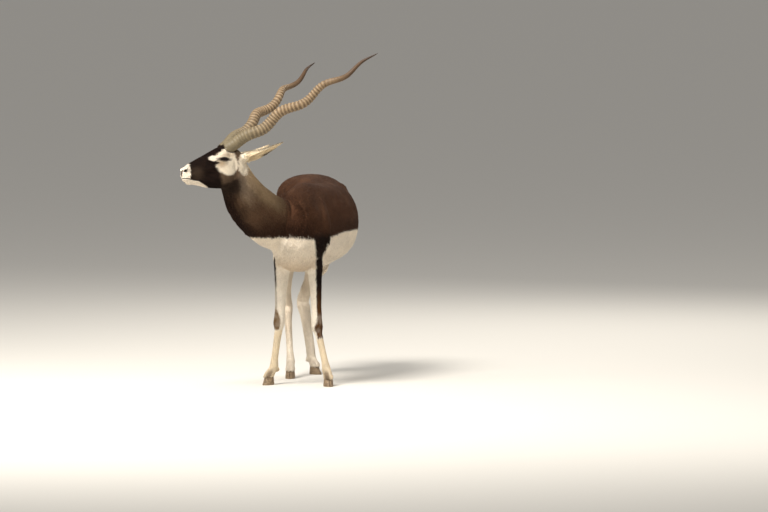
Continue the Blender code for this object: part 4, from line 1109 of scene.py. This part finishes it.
def lash_tufts():
    """Upper lashes: five points a tuft as in the coat, curving out from the lid's edge and down."""
    rows = []
    for hand in (1, -1):
        ring = almond(1.04, 96)
        for i in range(5, 44):
            spot = EYE_CENTRE + on_lid(ring[i], EYE_RADIUS + 1.4 * MM)
            lean = unit(ring[i])
            way = unit(EYE_OUT + 0.55 * lean + np.array([0.15, 0, 0.10]))
            across = unit(np.cross(way, [0, 0, 1.0]))
            long = (6.5 + 2.0 * math.sin(i * 1.7)) * MM
            half, droop = 0.28 * MM, np.array([0, 0, -1.0])
            waist = spot + way * long * 0.5
            tip = spot + way * long + droop * long * 0.40
            root, crest = spot - way * 1.5 * MM, waist - droop * half
            row = [root, waist + across * half, waist - across * half, crest, tip]
            rows.append([head_point(point, hand) for point in row])
    return np.array(rows)


def make_lid_rim(hand):
    """The dark wet edge of the lids: a thin ring that lies along their opening."""
    spots = [EYE_CENTRE + on_lid(spot, EYE_RADIUS + 0.9 * MM) for spot in almond(1.03, 64)]
    ring = [placed(head_point(spot, hand)) for spot in spots]
    middle = sum(ring, Vector()) / len(ring)
    points, faces, around = [], [], 8
    for i, spot in enumerate(ring):
        ahead = (ring[(i + 1) % 64] - ring[i - 1]).normalized()
        over = (spot - middle).normalized()
        out = ahead.cross(over)
        for k in range(around):
            angle = 2 * math.pi * k / around
            points.append(spot + (over * math.cos(angle) + out * math.sin(angle)) * 0.95 * MM)
            here, there = i * around, (i + 1) % 64 * around
            faces.append((here + k, here + (k + 1) % around, there + (k + 1) % around, there + k))
    return mesh_piece("lid_rim", points, faces)


def lid_finish():
    """The bare edge of the lids: dark skin, a little moist."""
    return Finish("lid_edge", roughness=0.5, base_color=(*COAT["lid"], 1)).material


def horn_spot(along, hand):
    """Centre of a horn in the drawing, coiling about its straight axis."""
    base = np.array([-0.0331, 0.0264, 0.0413])
    axis = unit([-0.8591, 0.4245, 0.3601 + FAR_HORN_LIFT * (hand < 0)])
    first = unit(np.array([0, 0, 1.0]) - axis * axis[2])
    second = np.cross(axis, first)
    share = along / HORN_LENGTH
    coil = HORN_COIL_RADIUS * min(max((share - 0.02) / 0.20, 0), 1) * min(max((1.04 - share) / 0.25, 0), 1)
    angle = 4.562 + 2 * math.pi * along / HORN_PITCH
    local = base + axis * along + first * coil * math.cos(angle) + second * coil * math.sin(angle)
    return in_head(local[0], hand * local[1], local[2])


def close_end(item, place, reach):
    """Fills the open ring of edges that lies within reach of a place."""
    pick_only(item)
    bpy.ops.object.mode_set(mode="EDIT")
    bpy.ops.mesh.select_all(action="DESELECT")
    bpy.ops.mesh.select_mode(type="VERT")
    bpy.ops.mesh.select_non_manifold()
    bpy.ops.object.mode_set(mode="OBJECT")
    mesh = item.data
    for vertex in mesh.vertices:
        vertex.select = vertex.select and (vertex.co - place).length < reach
    chosen = [vertex.select for vertex in mesh.vertices]
    both_ends = [chosen[edge.vertices[0]] and chosen[edge.vertices[1]] for edge in mesh.edges]
    mesh.edges.foreach_set("select", both_ends)
    mesh.polygons.foreach_set("select", np.zeros(len(mesh.polygons), bool))
    bpy.ops.object.mode_set(mode="EDIT")
    bpy.ops.mesh.edge_face_add()
    bpy.ops.object.mode_set(mode="OBJECT")


def make_horn(name, hand):
    """A grid rolled into a tapering coil, with a ridge and a groove for each growth ring."""
    bpy.ops.object.select_all(action="DESELECT")
    bpy.ops.mesh.primitive_grid_add(x_subdivisions=40, y_subdivisions=440, size=2)
    horn = named(name)
    grid = places_of(horn.data)
    ringed = int(0.76 * HORN_LENGTH / RING_SPACING)
    turn = (grid[:, 0] + 1) * math.pi
    keys = np.round((grid[:, 1] + 1) / 2, 6)
    points = np.zeros_like(grid)
    for value in np.unique(keys):
        along = HORN_START + (HORN_LENGTH - HORN_START) * value
        ahead = unit(horn_spot(along + 0.004, hand) - horn_spot(along - 0.004, hand))
        side = unit(np.cross(ahead, HEAD_UP))
        over = np.cross(side, ahead)
        here = keys == value
        angle = turn[here]
        wobble = 0.10 * np.sin(angle + along * 90) + 0.06 * np.sin(2 * angle - along * 60)
        number = along / RING_SPACING
        fade = np.clip(0.22 + number * 0.065, 0, 1) * np.clip((ringed - number) * 0.12, 0, 1)
        cycle = ((along - 0.004) / RING_SPACING + wobble) % 1
        groove = -0.30 * np.sin(np.pi * (cycle - 0.62) / 0.38)
        crest = np.where(cycle < 0.62, np.sin(np.pi * np.minimum(cycle, 0.62) / 0.62).clip(0) ** 0.8, groove)
        lean = 0.85 + 0.15 * np.cos(angle - 0.6)
        radius = np.interp(along / HORN_LENGTH, HORN_SHARES, HORN_RADII)
        size = radius + RING_HEIGHT * (crest - 0.25) * fade * lean * min(1, radius / 0.014)
        out = side * (np.cos(angle) * size)[:, None] + over * (np.sin(angle) * size)[:, None]
        points[here] = horn_spot(along, hand) + out
    put_places(horn.data, points + SHIFT)
    edit_whole(horn, bpy.ops.mesh.remove_doubles, threshold=0.02 * MM)
    for end, reach in ((HORN_START, 30 * MM), (HORN_LENGTH, 1 * MM)):
        close_end(horn, placed(horn_spot(end, hand)), reach)
    edit_whole(horn, bpy.ops.mesh.normals_make_consistent, inside=False)
    paint_horn(horn, hand)
    pick_only(horn)
    bpy.ops.object.shade_smooth()
    return horn


def paint_horn(horn, hand):
    """Olive tan, painted lighter on the ring crests as a highlight and darker in the grooves as shade, and a
    smooth dark brown tip.
    """
    points = places_of(horn.data) - SHIFT
    best = np.full(len(points), 9.0)
    share = np.zeros(len(points))
    for along in np.linspace(HORN_START, HORN_LENGTH, 600):
        gap = np.linalg.norm(points - horn_spot(along, hand), axis=1)
        share = np.where(gap < best, along / HORN_LENGTH, share)
        best = np.minimum(gap, best)
    radius = np.interp(share, [0, 0.25, 0.5, 0.75, 0.9, 1.0], [0.0235, 0.0208, 0.0168, 0.0104, 0.0062, 0.001])
    crest = (best - radius) / RING_HEIGHT
    paint(horn.data, "horn_tone", layered(
        linear("#6b604a"),
        (linear("#78634a"), ease(share, 0.10, 0.40)),
        (linear("#a69072"), ease(crest, 0.05, 0.60) * 0.42 * ease(share, 0.0, 0.30)),
        (linear("#4a3a2a"), (1 - ease(crest, -0.42, 0.02)) * 0.46 * ease(share, 0.0, 0.25)),
        (linear("#503b28"), ease(share, 0.62, 0.84)),
        (linear("#35261b"), ease(share, 0.84, 0.98)),
    ))


def horn_finish():
    """Keratin: a dull polish and fine grain along the horn, over the painted tone, lighter on the crests as a
    painted highlight.
    """
    made = Finish("horn_keratin", roughness=0.55, specular_ior_level=0.30)
    grain = made.noise(made.place(), 2.2, 4.0, Roughness=0.65)
    made.painted("horn_tone", made.swing(grain, 0.22), made.swing(made.noise(made.place(), 22, 3.0), 0.15))
    made.relief(grain, 0.5, 0.5)
    return made.material


def hoof_finish():
    """Hoof wall: dusty brown horn with faint growth bands and a dull wear."""
    made = Finish("hoof_wall", roughness=0.60, specular_ior_level=0.25)
    bands = made.noise(made.place((0.25, 0.25, 1.0)), 2.0, 3.0)
    made.link(made.ramp(bands, (0.32, "#584737"), (0.70, "#a08a6d")), "Base Color")
    made.relief(bands, 0.4, 0.5)
    return made.material


def eye_finish(hand):
    """A wet dark-brown iris round a level pupil, black at its rim."""
    made = Finish("eye_wet_" + ("left" if hand > 0 else "right"), roughness=0.30, coat_weight=0.35,
                  coat_roughness=0.03, specular_ior_level=0.1)
    middle = placed(head_point(EYE_CENTRE, hand))
    out = head_point(EYE_OUT, hand) - HEAD_ORIGIN
    level = unit(np.cross([0, 0, 1.0], out))
    upright = np.cross(out, level)

    def vector(operation, *inputs):
        return made.node("VectorMath", dict(enumerate(inputs)), operation=operation).outputs

    away = vector("SUBTRACT", made.place(), tuple(middle))["Vector"]
    wide = vector("DOT_PRODUCT", away, tuple(level / IRIS_RADIUS))["Value"]
    high = vector("DOT_PRODUCT", away, tuple(upright / IRIS_RADIUS))["Value"]
    flat = made.node("CombineXYZ", {"X": wide, "Y": high}).outputs["Vector"]
    iris = made.ramp(vector("LENGTH", flat)["Value"], (0.35, "#2a150a"), (0.95, "#080403"))
    pupil = vector("LENGTH", vector("MULTIPLY", flat, (1.0, 1.9, 1.0))["Vector"])["Value"]
    hole = made.node("MapRange", {"Value": pupil, "From Min": 0.62, "From Max": 0.70})
    made.tint(iris, hole.outputs["Result"])
    return made.material


def make_eye(name, hand):
    eye = add_ball(name, placed(head_point(EYE_CENTRE, hand)), EYE_RADIUS, 64)
    bpy.ops.object.shade_smooth()
    eye.data.materials.append(eye_finish(hand))
    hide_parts(name)
    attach(eye, "root")
    return eye


def make_ear(hand):
    """A leaf curled into a cup, from a grid bent round its axis and given its thickness."""
    axis = unit(EAR_TIP - EAR_BASE)
    opening = unit(EAR_OPENING - axis * (EAR_OPENING @ axis))
    across = np.cross(axis, opening)
    bpy.ops.object.select_all(action="DESELECT")
    bpy.ops.mesh.primitive_grid_add(x_subdivisions=22, y_subdivisions=44, size=2)
    ear = named("ear")
    grid = places_of(ear.data)
    turn, share = grid[:, 0], (grid[:, 1] + 1) / 2 * 0.998
    half = np.interp(share, EAR_SHARES, EAR_HALF_WIDTHS)
    curl = np.interp(share, [0, 0.2, 0.5, 1], [2.3, 1.9, 1.35, 1.1])
    radius = half / curl
    middle = EAR_BASE + (EAR_TIP - EAR_BASE) * share[:, None]
    middle = middle + EAR_BOW * np.sin(np.pi * share)[:, None]
    middle = middle + opening * (radius * np.cos(curl) * 0.5)[:, None]
    ripple = 0.6 * MM * np.sin(turn * 9 + share * 5) * ease(share, 0.2, 0.5)
    size = radius - 0.5 * MM + ripple * (1 - np.abs(turn))
    local = middle - opening * (size * np.cos(curl * turn))[:, None]
    local = local + across * (size * np.sin(curl * turn))[:, None]
    local[:, 1] *= hand
    put_places(ear.data, HEAD_ORIGIN + local @ HEAD_AXES + SHIFT)
    edit_whole(ear, bpy.ops.mesh.normals_make_consistent, inside=False)
    middle_face = ear.data.polygons[len(ear.data.polygons) // 2]
    inward = HEAD_AXES.T @ (opening * np.array([1, hand, 1]))
    if np.array(middle_face.normal) @ inward > 0:
        ear.data.flip_normals()
    apply_step(ear, "SOLIDIFY", thickness=1.5 * MM, offset=-1.0, use_rim=True)
    return ear


def make_floor():
    """A plain pale studio floor, matt, that only catches the shadow."""
    bpy.ops.object.select_all(action="DESELECT")
    bpy.ops.mesh.primitive_plane_add(size=160, location=(0, 20, 0))
    floor = named("floor")
    made = Finish("studio_floor", roughness=0.9, base_color=(*linear("#dcd8d0"), 1))
    floor.data.materials.append(made.material)
    return floor


def make_lights():
    """A broad soft key from the upper left front, a fill from the right and a low rim from behind."""
    world = bpy.context.scene.world or bpy.data.worlds.new("studio")
    bpy.context.scene.world = world
    world.use_nodes = True
    world.node_tree.nodes["Background"].inputs["Color"].default_value = (0.98, 0.97, 0.96, 1)
    world.node_tree.nodes["Background"].inputs["Strength"].default_value = 0.38
    bpy.context.scene.view_settings.view_transform = "Standard"
    target = Vector((0.0, 0.0, 0.65))
    for name, place, size, power in (
        ("key", (-1.3, -2.6, 4.2), 1.6, 360),
        ("fill", (3.2, -2.0, 2.0), 2.6, 22),
        ("rim", (1.0, 3.6, 3.0), 2.0, 70),
    ):
        data = bpy.data.lights.new(name, "AREA")
        data.size, data.energy = size, power
        data.color = (1.0, 0.965, 0.91)
        lamp = linked(name, data)
        lamp.location = place
        lamp.rotation_euler = (target - lamp.location).to_track_quat("-Z", "Y").to_euler()


def make_camera():
    """The photograph's view: a long lens 33 m off, 10 degrees round and 4.7 degrees up, 768 by 512."""
    turn, lift, distance = math.radians(10), math.radians(4.7), 33.0
    focal_px = 8580.0
    back = Vector((math.sin(turn) * math.cos(lift), -math.cos(turn) * math.cos(lift), math.sin(lift)))
    right = Vector((math.cos(turn), math.sin(turn), 0))
    up = right.cross(-back)
    data = bpy.data.cameras.new("photo_view")
    data.sensor_width = 36.0
    data.lens = focal_px / 768 * 36.0
    data.clip_start, data.clip_end = 1.0, 400.0
    camera = linked("photo_view", data)
    camera.location = placed((0, 0, 0)) + back * distance
    look = (-back * focal_px + right * 85 + up * 129).normalized()
    camera.rotation_euler = look.to_track_quat("-Z", "Y").to_euler()
    bpy.context.scene.camera = camera


make_camera()
make_floor()
make_lights()

skin = make_skin()
shape_body(skin)
sink_skin(skin)
sculpt_head(skin)
open_lids(skin)
for hand in (1, -1):
    ear = make_ear(hand)
    apply_step(skin, "BOOLEAN", operation="UNION", object=ear, solver="MANIFOLD")
    bpy.data.objects.remove(ear, do_unlink=True)
skin_places = places_of(skin.data) - SHIFT
paint(skin.data, "marks_and_painted_light", coat_colour(skin_places, normals_of(skin.data)))
paint(skin.data, "bare_skin", np.tile(bare_skin(skin_places)[:, None], (1, 3)))
skin.data.materials.clear()
skin.data.materials.append(coat_finish())
pick_only(skin)
bpy.ops.object.shade_smooth()
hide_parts(*FLESH, "tail", "ear_left", "ear_right")
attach(skin, "root")

grow_coat(skin, hair_finish())

make_eye("eye_left", 1).name = "eyeball_left"
make_eye("eye_right", -1).name = "eyeball_right"
lid_stuff = lid_finish()
for side_name, hand in (("left", 1), ("right", -1)):
    rim = make_lid_rim(hand)
    rim.name = "lid_rim_" + side_name
    rim.data.materials.append(lid_stuff)
    bpy.ops.object.shade_smooth()
    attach(rim, "root")
horn_stuff = horn_finish()
for side_name, hand in (("left", 1), ("right", -1)):
    horn = make_horn("ringed_horn_" + side_name, hand)
    horn.data.materials.append(horn_stuff)
    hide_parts("horn_" + side_name)
    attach(horn, "root")
hoof_stuff = hoof_finish()
for name in HOOVES:
    for material_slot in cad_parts[name].material_slots:
        material_slot.material = hoof_stuff
